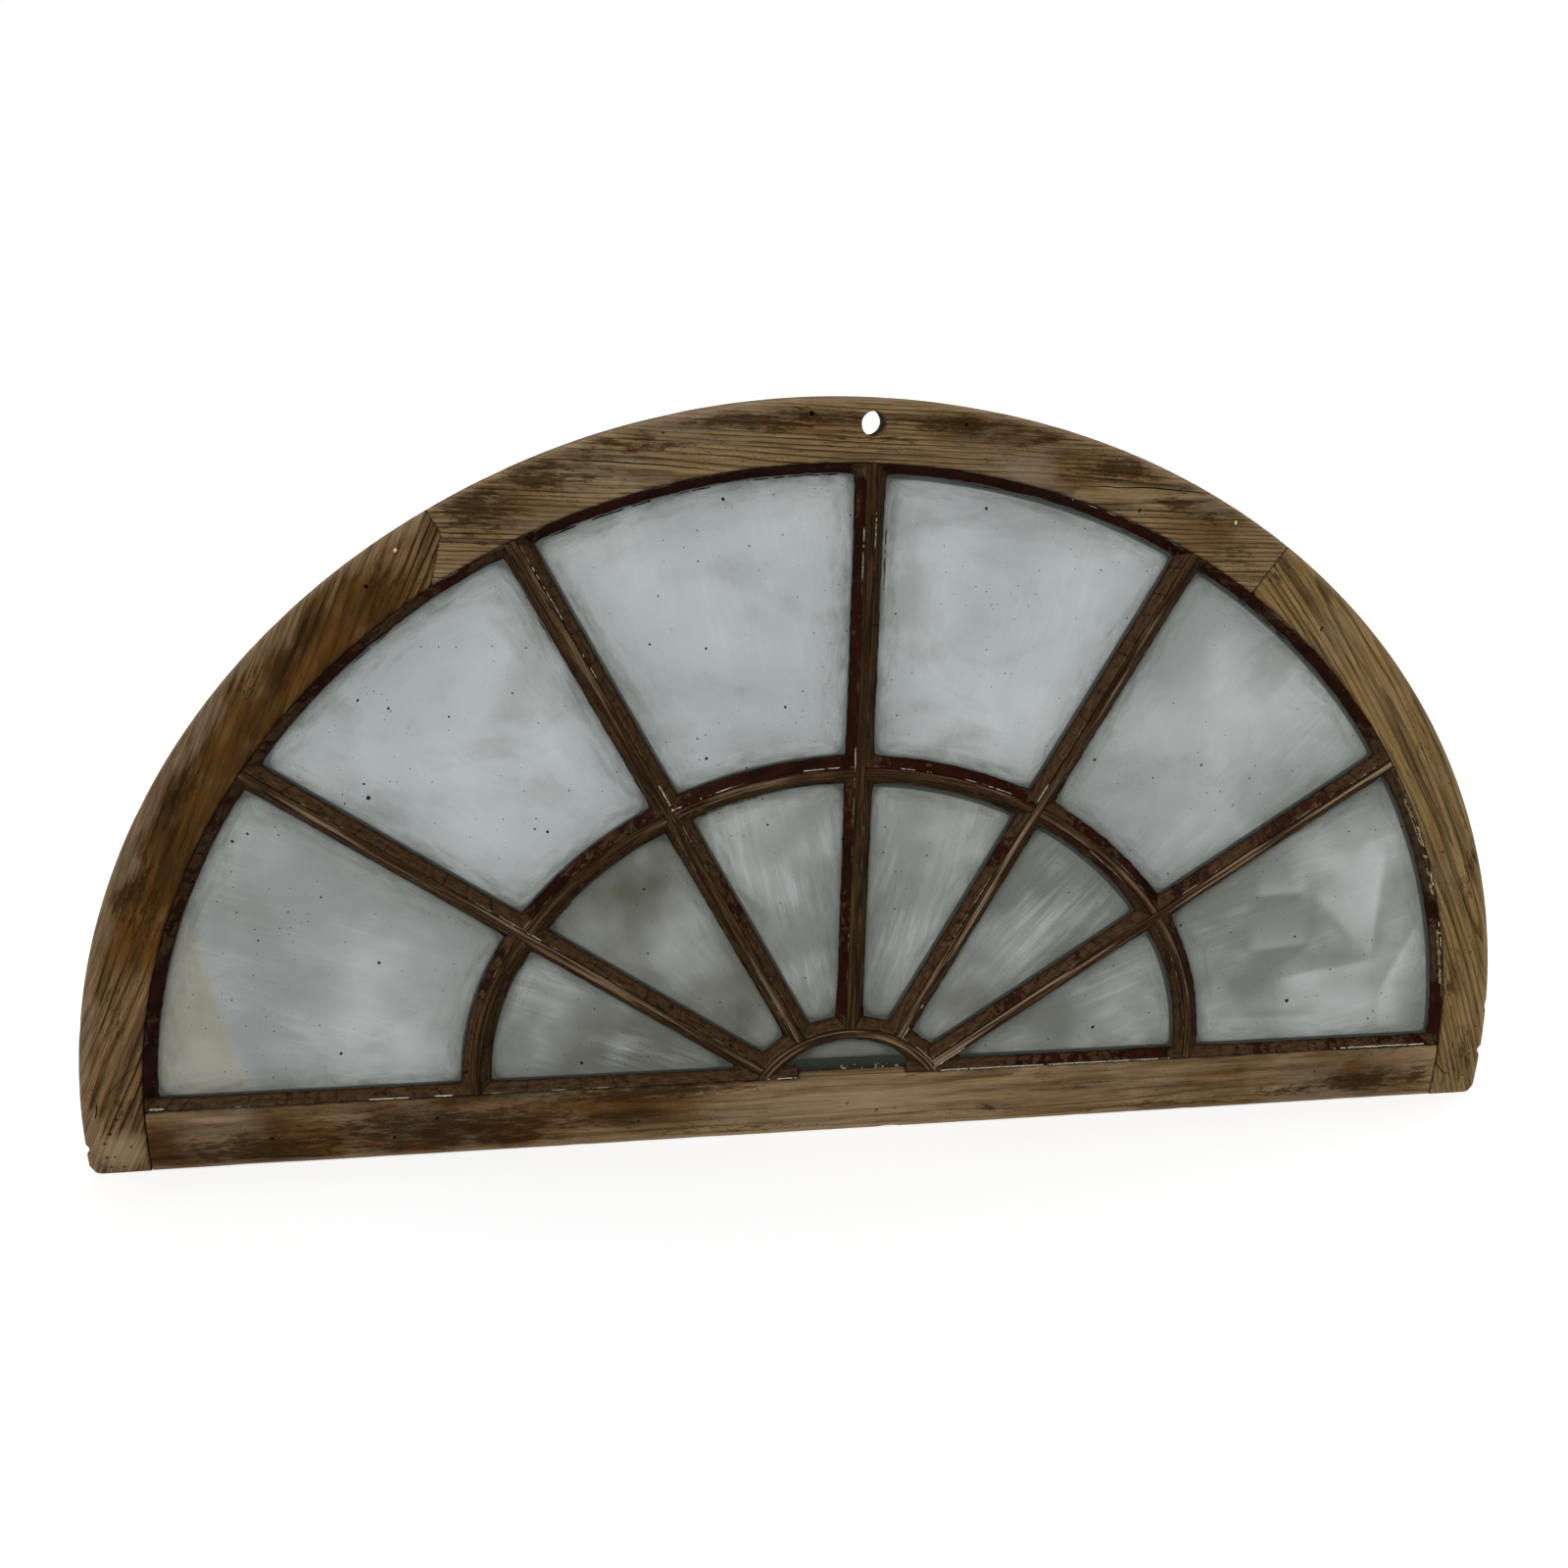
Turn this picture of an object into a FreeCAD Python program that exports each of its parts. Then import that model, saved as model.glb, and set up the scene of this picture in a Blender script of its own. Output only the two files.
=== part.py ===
import FreeCAD, Part
import Sketcher
import math
import os
from functools import partial

# Sunburst fanlight: a half-round wooden sash with five radial bars, a ring of bars,
# a small half-round hub, and thirteen panes bedded in putty. All sizes are in millimetres.
# Frame: X to the right, Y into the depth with the putty side at the front (-Y), Z up.
# The origin is the middle of the sash's underside.

doc = FreeCAD.newDocument("fanlight")

# Driving dimensions, each with the alias that the expressions use
DIMENSIONS = [
    ("arch_radius", 610.0, "outer radius of the arch"),
    ("centre_height", 9.5, "height of the centre that the arch and bars are struck from"),
    ("sash_depth", 35.0, "thickness of the sash, front to back"),
    ("arch_face", 46.0, "width of the arch's front face"),
    ("rail_face", 55.0, "height of the bottom rail's front face"),
    ("rebate_width", 7.0, "width of the glazing rebate"),
    ("rebate_depth", 12.0, "depth of the glazing rebate below the front face"),
    ("lip_depth", 6.0, "depth of the square lip behind the glass"),
    ("bevel_depth", 9.0, "depth of the bevel on the room side"),
    ("bar_nosing", 8.0, "width of a glazing bar's front edge"),
    ("spoke_step", 27.2, "angle from one radial bar to the next, in degrees"),
    ("ring_radius", 325.0, "radius of the ring, at the middle of its bar"),
    ("hub_radius", 87.5, "radius of the hub, at the middle of its bar"),
    ("right_seam_angle", 56.8, "angle of the right joint in the arch, in degrees"),
    ("left_seam_angle", 121.0, "angle of the left joint in the arch, in degrees"),
    ("hook_depth", 19.0, "depth of the outer cut of the hooked left joint"),
    ("hook_angle", 15.0, "lean of the inner cut of the hooked left joint, in degrees"),
    ("bolt_hole", 18.0, "diameter of the hole through the crown"),
    ("bolt_inset", 18.3, "distance from the top of the arch to the middle of the hole"),
    ("glass", 3.0, "thickness of the glass"),
    ("glass_gap", 1.5, "clearance round a pane inside its rebate"),
    ("putty_drop", 0.8, "how far the putty's top lies below the front face"),
    ("putty_nib", 6.0, "length of the putty that fills a sharp corner beyond the bars"),
    ("lost_left", -44.0, "left end of the stretch of hub putty that has fallen out"),
    ("lost_right", 52.0, "right end of that stretch"),
]

sheet = doc.addObject("Spreadsheet::Sheet", "Sizes")
for row, (alias, value, note) in enumerate(DIMENSIONS, 1):
    sheet.set(f"A{row}", note)
    sheet.set(f"B{row}", str(value))
    sheet.setAlias(f"B{row}", alias)
doc.recompute()


def size(alias):
    """The value of one driving dimension."""
    return float(sheet.get(alias))


# Depths through the section, from the front face to the back
FRONT = "-Sizes.sash_depth / 2"
SEAT = f"({FRONT} + Sizes.rebate_depth)"
LIP = f"({SEAT} + Sizes.lip_depth)"
BEVEL = f"({LIP} + Sizes.bevel_depth)"
BACK = "Sizes.sash_depth / 2"

# Turning about the fan's axis counts from +X up to +Z, as seen from the front
FAN_AXIS = FreeCAD.Vector(0, -1, 0)
UPRIGHT = FreeCAD.Rotation(FreeCAD.Vector(1, 0, 0), 90)
ALONG_RAIL = FreeCAD.Rotation(FreeCAD.Vector(0, 1, 0), -90)

subparts = []


def keep(feature, label):
    """Name a finished sub-part and put it on the list that is written out."""
    feature.Label = label
    subparts.append(feature)


def bind(feature, **expressions):
    """Bind properties to expressions; a double underscore stands for a dot."""
    for path, expression in expressions.items():
        feature.setExpression(path.replace("__", "."), expression)


# Sketches

def moulded_edge(face, sign):
    """Corners of one edge, front to back: glazing rebate, lip and bevel."""
    return [
        (face, FRONT),
        (face, SEAT),
        (f"{face} {sign} Sizes.rebate_width", SEAT),
        (f"{face} {sign} Sizes.rebate_width", LIP),
        (face, BEVEL),
        (face, BACK),
    ]


def closed_sketch(name, corners):
    """A closed sketch of straight edges, with its corners bound to expressions."""
    sketch = doc.addObject("Sketcher::SketchObject", name)
    places = []
    for across, along in corners:
        places.append(FreeCAD.Vector(sketch.evalExpression(across), sketch.evalExpression(along), 0))
    for edge, start in enumerate(places):
        end = places[(edge + 1) % len(places)]
        sketch.addGeometry(Part.LineSegment(start, end), False)
    for edge, start in enumerate(places):
        before = (edge - 1) % len(places)
        sketch.addConstraint(Sketcher.Constraint("Coincident", before, 2, edge, 1))
        for kind, place, expression in zip(("DistanceX", "DistanceY"), start, corners[edge]):
            number = sketch.addConstraint(Sketcher.Constraint(kind, -1, 1, edge, 1, place))
            sketch.setExpression(f"Constraints[{number}]", expression)
    return sketch


def bar_sketch(name):
    """The section of a glazing bar, the same on both sides of its middle."""
    right = moulded_edge("Sizes.bar_nosing / 2", "+")
    left = moulded_edge("-Sizes.bar_nosing / 2", "-")
    return closed_sketch(name, right + left[::-1])


def turned(name, sketch, angle):
    """A sketch turned about its own Y axis, from +X towards +Z."""
    feature = doc.addObject("Part::Revolution", name)
    feature.Source = sketch
    feature.Axis = FAN_AXIS
    feature.Solid = True
    feature.setExpression("Angle", angle)
    return feature


def pushed(name, sketch, length):
    """A sketch extruded along its normal."""
    feature = doc.addObject("Part::Extrusion", name)
    feature.Base = sketch
    feature.DirMode = "Normal"
    feature.Solid = True
    feature.setExpression("LengthFwd", length)
    return feature


def joined(name, features):
    """Several solids fused into one tool."""
    feature = doc.addObject("Part::MultiFuse", name)
    feature.Shapes = features
    return feature


def cut(name, base, tool):
    """One solid less another: a joint scribed over the piece that it meets."""
    feature = doc.addObject("Part::Cut", name)
    feature.Base = base
    feature.Tool = tool
    return feature


# Frame: a ring for the arch, and a rail that is scribed between the arch's feet

ARCH_INNER = "(Sizes.arch_radius - Sizes.arch_face)"
ARCH_MIDDLE = "(Sizes.arch_radius - Sizes.arch_face / 2)"

arch_corners = moulded_edge(ARCH_INNER, "-")
arch_corners += [("Sizes.arch_radius", BACK), ("Sizes.arch_radius", FRONT)]
arch_section = closed_sketch("arch_section", arch_corners)
arch_ring = turned("arch_ring", arch_section, "360")
bind(arch_ring, Placement__Base__z="Sizes.centre_height")

rail_corners = moulded_edge("Sizes.rail_face", "+") + [("0", BACK), ("0", FRONT)]
rail_section = closed_sketch("rail_section", rail_corners)
rail_section.Placement.Rotation = ALONG_RAIL
bind(rail_section, Placement__Base__x=ARCH_MIDDLE)
rail_stock = pushed("rail_stock", rail_section, f"2 * {ARCH_MIDDLE}")
keep(cut("rail_scribed", rail_stock, arch_ring), "bottom_rail")

# Felloes: the arch ring is sawn into three lengths from boards that meet at the two joints

BOARD_REACH = "(Sizes.arch_radius + Sizes.arch_face)"
BOARD_INSIDE = f"({ARCH_INNER} - Sizes.arch_face)"


def on_fan(radius, angle):
    """Expressions for a point at a radius and an angle about the fan's centre."""
    return (f"{radius} * cos({angle})", f"Sizes.centre_height + {radius} * sin({angle})")


HOOK_RADIUS = "(Sizes.arch_radius - Sizes.hook_depth)"
HOOK_LENGTH = "(2 * Sizes.arch_face)"

right_joint = [
    on_fan(BOARD_REACH, "Sizes.right_seam_angle"),
    on_fan(BOARD_INSIDE, "Sizes.right_seam_angle"),
]
hook_x, hook_z = on_fan(HOOK_RADIUS, "Sizes.left_seam_angle")
left_joint = [
    on_fan(BOARD_REACH, "Sizes.left_seam_angle"),
    (hook_x, hook_z),
    (
        f"{hook_x} - {HOOK_LENGTH} * sin(Sizes.hook_angle)",
        f"{hook_z} - {HOOK_LENGTH} * cos(Sizes.hook_angle)",
    ),
]
boards = {
    "right_felloe": right_joint + [
        (BOARD_INSIDE, "0"),
        (BOARD_REACH, "0"),
        (BOARD_REACH, right_joint[0][1]),
    ],
    "crown_felloe": right_joint[::-1] + [
        (right_joint[0][0], f"Sizes.centre_height + {BOARD_REACH}"),
        (left_joint[0][0], f"Sizes.centre_height + {BOARD_REACH}"),
    ] + left_joint,
    "left_felloe": left_joint + [
        (f"-{BOARD_INSIDE}", "0"),
        (f"-{BOARD_REACH}", "0"),
        (f"-{BOARD_REACH}", left_joint[0][1]),
    ],
}

bolt_hole = doc.addObject("Part::Cylinder", "bolt_hole")
bolt_hole.Placement.Rotation = UPRIGHT
bind(
    bolt_hole,
    Radius="Sizes.bolt_hole / 2",
    Height="Sizes.sash_depth",
    Placement__Base__y=BACK,
    Placement__Base__z="Sizes.centre_height + Sizes.arch_radius - Sizes.bolt_inset",
)

for label, corners in boards.items():
    outline = closed_sketch(f"{label}_outline", corners)
    outline.Placement.Rotation = UPRIGHT
    bind(outline, Placement__Base__y=BACK)
    board = pushed(f"{label}_board", outline, "Sizes.sash_depth")
    sawn = doc.addObject("Part::Common", f"{label}_sawn")
    sawn.Base = arch_ring
    sawn.Tool = board
    if label == "crown_felloe":
        sawn = cut(f"{label}_bored", sawn, bolt_hole)
    keep(sawn, label)

# Bars: the hub on the rail, the spokes from hub to arch, and the ring between the spokes

SPOKES = {
    "right_low_spoke": "90 - 2 * Sizes.spoke_step",
    "right_high_spoke": "90 - Sizes.spoke_step",
    "centre_spoke": "90",
    "left_high_spoke": "90 + Sizes.spoke_step",
    "left_low_spoke": "90 + 2 * Sizes.spoke_step",
}
LOW_ANGLE = f"({SPOKES['right_low_spoke']})"
RAIL_RISE = "(Sizes.rail_face - Sizes.centre_height)"

hub_section = bar_sketch("hub_section")
bind(hub_section, Placement__Base__x="Sizes.hub_radius")
hub_start = f"(asin({RAIL_RISE} / Sizes.hub_radius) / 2 deg)"
hub_turned = turned("hub_turned", hub_section, f"180 - 2 * {hub_start}")
hub_turned.Placement.Rotation = FreeCAD.Rotation(FAN_AXIS, 1)
bind(hub_turned, Placement__Base__z="Sizes.centre_height", Placement__Rotation__Angle=hub_start)
keep(cut("hub_scribed", hub_turned, rail_stock), "hub_bar")

spoke_section = bar_sketch("spoke_section")
bind(spoke_section, Placement__Base__z="Sizes.hub_radius")
spoke_stops = joined("spoke_stops", [arch_ring, rail_stock, hub_turned])
spoke_lengths = []
for label, angle in SPOKES.items():
    length = pushed(f"{label}_length", spoke_section, f"{ARCH_MIDDLE} - Sizes.hub_radius")
    length.Placement.Rotation = FreeCAD.Rotation(FAN_AXIS, 1)
    bind(length, Placement__Base__z="Sizes.centre_height", Placement__Rotation__Angle=f"{angle} - 90")
    spoke_lengths.append(length)
    keep(cut(f"{label}_scribed", length, spoke_stops), label)

# The ring's end pieces are struck from the point where the low spoke's line meets the rail's top
# edge, so that they run on from the ring at the spoke and land square on the rail.

FOOT_SHIFT = f"({RAIL_RISE} / sin({LOW_ANGLE}))"
FOOT_RADIUS = f"(Sizes.ring_radius - {FOOT_SHIFT})"
FOOT_CENTRE_X = f"({FOOT_SHIFT} * cos({LOW_ANGLE}))"
FOOT_SINK = f"(asin(Sizes.rail_face / 2 / {FOOT_RADIUS}) / 1 deg)"

ring_section = bar_sketch("ring_section")
bind(ring_section, Placement__Base__x="Sizes.ring_radius")
foot_section = bar_sketch("foot_section")
bind(foot_section, Placement__Base__x=FOOT_RADIUS)
ring_stops = joined("ring_stops", [rail_stock] + spoke_lengths)

RING = {
    "right_mid_ring": SPOKES["right_low_spoke"],
    "right_top_ring": SPOKES["right_high_spoke"],
    "left_top_ring": SPOKES["centre_spoke"],
    "left_mid_ring": SPOKES["left_high_spoke"],
}
for label, start in RING.items():
    length = turned(f"{label}_length", ring_section, "Sizes.spoke_step")
    length.Placement.Rotation = FreeCAD.Rotation(FAN_AXIS, 1)
    bind(length, Placement__Base__z="Sizes.centre_height", Placement__Rotation__Angle=start)
    keep(cut(f"{label}_scribed", length, ring_stops), label)

RING_FEET = {
    "right_foot_ring": (FOOT_CENTRE_X, f"-{FOOT_SINK}"),
    "left_foot_ring": (f"-{FOOT_CENTRE_X}", f"180 - {LOW_ANGLE}"),
}
for label, (centre_x, start) in RING_FEET.items():
    length = turned(f"{label}_length", foot_section, f"{LOW_ANGLE} + {FOOT_SINK}")
    length.Placement.Rotation = FreeCAD.Rotation(FAN_AXIS, 1)
    bind(
        length,
        Placement__Base__x=centre_x,
        Placement__Base__z="Sizes.rail_face",
        Placement__Rotation__Angle=start,
    )
    keep(cut(f"{label}_scribed", length, ring_stops), label)

# Glazing: each opening is drawn about the fan's centre, at any inset from the bars round it

NOSING = size("bar_nosing") / 2
RISE = size("rail_face") - size("centre_height")
SPOKE_ANGLES = [math.radians(90 - count * size("spoke_step")) for count in (2, 1, 0)]
FOOT_CENTRE = (RISE / math.tan(SPOKE_ANGLES[0]), RISE)
FOOT_RUN = size("ring_radius") - math.hypot(*FOOT_CENTRE)
FAN_CENTRE = (0.0, 0.0)
ROWS = ("low", "mid", "top")
SIDES = {"right": 1, "left": -1}


def rail_line(inset):
    """The line above the rail, as a point and a direction."""
    return (0.0, RISE + inset), (1.0, 0.0)


def spoke_line(row, side, inset):
    """The line beside a spoke, above it (side 1) or below it (side -1)."""
    along = (math.cos(SPOKE_ANGLES[row]), math.sin(SPOKE_ANGLES[row]))
    away = side * (NOSING + inset)
    return (-along[1] * away, along[0] * away), along


def line_meets_circle(line, circle):
    """Where a line, going outwards, leaves a circle."""
    (x, z), (along_x, along_z) = line
    (centre_x, centre_z), radius = circle
    behind = (x - centre_x) * along_x + (z - centre_z) * along_z
    apart = (x - centre_x) ** 2 + (z - centre_z) ** 2 - radius ** 2
    run = -behind + math.sqrt(behind ** 2 - apart)
    return (x + run * along_x, z + run * along_z)


def line_meets_line(first, second):
    """Where two lines cross."""
    (x, z), (along_x, along_z) = first
    (other_x, other_z), (other_along_x, other_along_z) = second
    cross = along_x * other_along_z - along_z * other_along_x
    run = ((other_x - x) * other_along_z - (other_z - z) * other_along_x) / cross
    return (x + run * along_x, z + run * along_z)


def on_circle_between(circle, first, second):
    """The point of a circle halfway between two of its points."""
    (centre_x, centre_z), radius = circle
    middle_x = (first[0] + second[0]) / 2 - centre_x
    middle_z = (first[1] + second[1]) / 2 - centre_z
    scale = radius / math.hypot(middle_x, middle_z)
    return (centre_x + middle_x * scale, centre_z + middle_z * scale)


def ring_circle(row, side, inset):
    """The line beside the ring at a row of panes, outside it (side 1) or inside it (side -1)."""
    away = side * (NOSING + inset)
    if row == 0:
        return FOOT_CENTRE, FOOT_RUN + away
    return FAN_CENTRE, size("ring_radius") + away


def fan_opening(row, band, hand, inset, depth):
    """The wire of an outer or inner opening, inset from its bars, at a depth."""
    low = rail_line(inset) if row == 0 else spoke_line(row - 1, 1, inset)
    high = spoke_line(row, -1, inset)
    if band == "outer":
        outside = FAN_CENTRE, size("arch_radius") - size("arch_face") - inset
        inside = ring_circle(row, 1, inset)
    else:
        outside = ring_circle(row, -1, inset)
        reach = size("hub_radius") + NOSING + inset
        if row == 0:
            reach = max(reach, math.hypot(*line_meets_line(low, high)) + size("putty_nib"))
        inside = FAN_CENTRE, reach
    corners = [
        line_meets_circle(low, inside),
        line_meets_circle(low, outside),
        line_meets_circle(high, outside),
        line_meets_circle(high, inside),
    ]
    outer_middle = on_circle_between(outside, corners[1], corners[2])
    inner_middle = on_circle_between(inside, corners[3], corners[0])
    places = [FreeCAD.Vector(hand * x, depth, z) for x, z in corners + [outer_middle, inner_middle]]
    edges = [
        Part.makeLine(places[0], places[1]),
        Part.Arc(places[1], places[4], places[2]).toShape(),
        Part.makeLine(places[2], places[3]),
        Part.Arc(places[3], places[5], places[0]).toShape(),
    ]
    return Part.Wire(edges)


def hub_opening(inset, depth):
    """The wire of the half-round opening inside the hub."""
    circle = FAN_CENTRE, size("hub_radius") - NOSING - inset
    foot_x, foot_z = line_meets_circle(rail_line(inset), circle)
    right = FreeCAD.Vector(foot_x, depth, foot_z)
    left = FreeCAD.Vector(-foot_x, depth, foot_z)
    top = FreeCAD.Vector(0, depth, circle[1])
    return Part.Wire([Part.makeLine(left, right), Part.Arc(right, top, left).toShape()])


def prism(opening, inset, front, back):
    """An opening's shape as a plate between two depths."""
    thickness = FreeCAD.Vector(0, back - front, 0)
    return Part.Face(opening(inset, front)).extrude(thickness)


def putty_bead(opening):
    """A bead of putty that slopes from the bars' front edges down to the glass."""
    front = size("putty_drop") - size("rebate_depth")
    back = -size("glass")
    slope = [opening(0, front), opening(size("rebate_width"), back)]
    return prism(opening, 0, front, back).cut(Part.makeLoft(slope, True, True))


def seat_on_rebate(name, shape):
    """A sub-part drawn about the fan's centre, with depth 0 on the rebate's seat."""
    feature = doc.addObject("Part::Feature", name)
    feature.Shape = shape
    seat = size("rebate_depth") - size("sash_depth") / 2
    feature.Placement.Base = FreeCAD.Vector(0, seat, size("centre_height"))
    keep(feature, name)


def pane(opening):
    """A pane of glass that lies on the rebate's seat."""
    return prism(opening, size("glass_gap"), -size("glass"), 0)


for side, hand in SIDES.items():
    for row, level in enumerate(ROWS):
        for band in ("outer", "inner"):
            opening = partial(fan_opening, row, band, hand)
            seat_on_rebate(f"{side}_{level}_{band}_pane", pane(opening))
            seat_on_rebate(f"{side}_{level}_{band}_putty", putty_bead(opening))


def hub_bead():
    """The hub's bead: a cone under the hub and a slope above the rail, which has lost its middle."""
    front = size("putty_drop") - size("rebate_depth")
    back = -size("glass")
    width = size("rebate_width")
    reach = size("hub_radius") - NOSING
    start = FreeCAD.Vector(0, front, 0)
    cone = Part.makeCone(reach, reach - width, back - front, start, FreeCAD.Vector(0, 1, 0))
    corners = [(front, RISE), (front, reach), (back, reach), (back, RISE + width), (front, RISE)]
    outline = Part.makePolygon([FreeCAD.Vector(-reach, depth, up) for depth, up in corners])
    above_rail = Part.Face(outline).extrude(FreeCAD.Vector(2 * reach, 0, 0))
    lost = Part.makeBox(
        size("lost_right") - size("lost_left"),
        size("rebate_depth"),
        width,
        FreeCAD.Vector(size("lost_left"), -size("rebate_depth"), RISE),
    )
    return prism(hub_opening, 0, front, back).cut(cone.common(above_rail)).cut(lost)


seat_on_rebate("hub_pane", pane(hub_opening))
seat_on_rebate("hub_putty", hub_bead())

# Every object and sub-part is checked before anything is written

doc.recompute()
for item in doc.Objects:
    if "Invalid" in item.State or "Error" in item.State:
        raise RuntimeError(f"{item.Label} did not build: {item.State}")
for item in subparts:
    if item.Shape.isNull() or not item.Shape.isValid() or len(item.Shape.Solids) != 1:
        raise RuntimeError(f"{item.Label} is not one valid solid")

os.makedirs("parts", exist_ok=True)
for item in subparts:
    item.Shape.exportStep(f"parts/{item.Label}.step")
print(f"wrote {len(subparts)} sub-parts")
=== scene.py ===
"""Looks of the sunburst fanlight: weathered sash wood, painted putty and dirty old glass.

Shapes are worked out in millimetres in the part's own frame, with X to the right, Y into the
depth and Z up, and they become metres when a mesh is made.
"""
import math

import bmesh
import bpy
import numpy as np
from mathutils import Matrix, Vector
from mathutils.geometry import tessellate_polygon


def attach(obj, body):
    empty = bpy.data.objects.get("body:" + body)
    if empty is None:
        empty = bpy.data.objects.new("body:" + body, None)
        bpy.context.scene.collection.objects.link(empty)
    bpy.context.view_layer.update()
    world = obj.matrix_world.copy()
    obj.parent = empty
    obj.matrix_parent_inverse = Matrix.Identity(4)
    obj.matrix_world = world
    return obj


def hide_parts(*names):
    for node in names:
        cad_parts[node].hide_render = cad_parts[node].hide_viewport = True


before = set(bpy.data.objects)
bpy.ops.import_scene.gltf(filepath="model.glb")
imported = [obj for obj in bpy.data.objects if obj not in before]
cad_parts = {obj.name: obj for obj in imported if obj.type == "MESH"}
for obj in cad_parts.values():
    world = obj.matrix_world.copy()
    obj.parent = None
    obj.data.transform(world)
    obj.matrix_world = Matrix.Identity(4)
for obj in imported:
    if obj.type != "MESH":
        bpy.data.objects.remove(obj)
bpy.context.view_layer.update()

MM = 0.001

# Driving dimensions of the sash, in millimetres and radians
ARCH_RADIUS = 610.0
CENTRE_HEIGHT = 9.5
SASH_DEPTH = 35.0
ARCH_FACE = 46.0
RAIL_FACE = 55.0
REBATE_WIDTH = 7.0
REBATE_DEPTH = 12.0
LIP_DEPTH = 6.0
BEVEL_DEPTH = 9.0
BAR_NOSING = 8.0
SPOKE_STEP = math.radians(27.2)
RING_RADIUS = 325.0
HUB_RADIUS = 87.5
RIGHT_SEAM = math.radians(56.8)
LEFT_SEAM = math.radians(121.0)
HOOK_DEPTH = 19.0
HOOK_LEAN = math.radians(15.0)
BOLT_HOLE = 18.0
BOLT_INSET = 18.3
GLASS = 3.0
GLASS_GAP = 1.5
PUTTY_DROP = 0.8
PUTTY_NIB = 6.0
LOST_PUTTY = (-44.0, 52.0)

# Depths through the section, from the front face to the back
FRONT = -SASH_DEPTH / 2
SEAT = FRONT + REBATE_DEPTH
LIP = SEAT + LIP_DEPTH
BEVEL = LIP + BEVEL_DEPTH
BACK = SASH_DEPTH / 2

HALF_NOSING = BAR_NOSING / 2
ARCH_INNER = ARCH_RADIUS - ARCH_FACE
RISE = RAIL_FACE - CENTRE_HEIGHT
LOW, HIGH, MIDDLE = SPOKE_ANGLES = [math.pi / 2 - count * SPOKE_STEP for count in (2, 1, 0)]
FAN_CENTRE = np.zeros(2)
FOOT_CENTRE = np.array([RISE / math.tan(LOW), RISE])
FOOT_RADIUS = RING_RADIUS - np.hypot(*FOOT_CENTRE)

# How worn the edges are, and the hairline gaps that open at the joints
SEAM_GAP = 0.25
JOINT_EASE = 0.6
FOOT_ROUND = 7.0
ARRIS = 2.2


# Smooth random values, the same in each run

TABLE_SIZE = 65536
TABLE = np.random.default_rng(11).uniform(-1, 1, TABLE_SIZE)
STRIDES = (73856093, 19349663, 83492791)
SEED_SHIFT = 17.31
OCTAVES = 3


def noise(points, size, seed=0):
    """A value from -1 to 1 for each point, with features of about a size along each axis."""
    scaled = points / np.asarray(size, float) + seed * SEED_SHIFT
    cell = np.floor(scaled).astype(np.int64)
    share = smooth_step(scaled - cell, 0, 1)
    total = 0
    for corner in np.ndindex(2, 2, 2):
        key, weight = 0, 1
        for axis in range(3):
            key = key ^ ((cell[..., axis] + corner[axis]) * STRIDES[axis])
            weight = weight * (share[..., axis] if corner[axis] else 1 - share[..., axis])
        total = total + weight * TABLE[key % TABLE_SIZE]
    return total


def rough(points, size, seed):
    """Noise with finer and weaker noise added to it."""
    return sum(noise(points, size / 2 ** step, seed + step) / 2 ** step for step in range(OCTAVES))


def smooth_step(values, low, high):
    """0 below low, 1 above high, and a smooth change between them."""
    share = np.clip((values - low) / (high - low), 0, 1)
    return share * share * (3 - 2 * share)


# Points, lines and directions

def xyz(x, y, z):
    """Points from their three coordinates."""
    return np.stack(np.broadcast_arrays(x, y, z), -1)


def unit(vectors):
    """Vectors made one long."""
    return vectors / np.maximum(np.linalg.norm(vectors, axis=-1, keepdims=True), 1e-9)


def turned(vectors):
    """Vectors in a plane, turned a quarter to the left."""
    return np.stack([-vectors[..., 1], vectors[..., 0]], -1)


def runs_along(line):
    """How far along a line each of its points lies."""
    return np.concatenate([[0], np.cumsum(np.hypot(*np.diff(line, axis=0).T))])


# Material nodes

def srgb(red, green, blue):
    """A colour as it is seen on a screen, from 0 to 255, as linear light with alpha 1."""
    seen = np.array([red, green, blue]) / 255
    linear = np.where(seen <= 0.04045, seen / 12.92, ((seen + 0.055) / 1.055) ** 2.4)
    return (*linear, 1.0)


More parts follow.
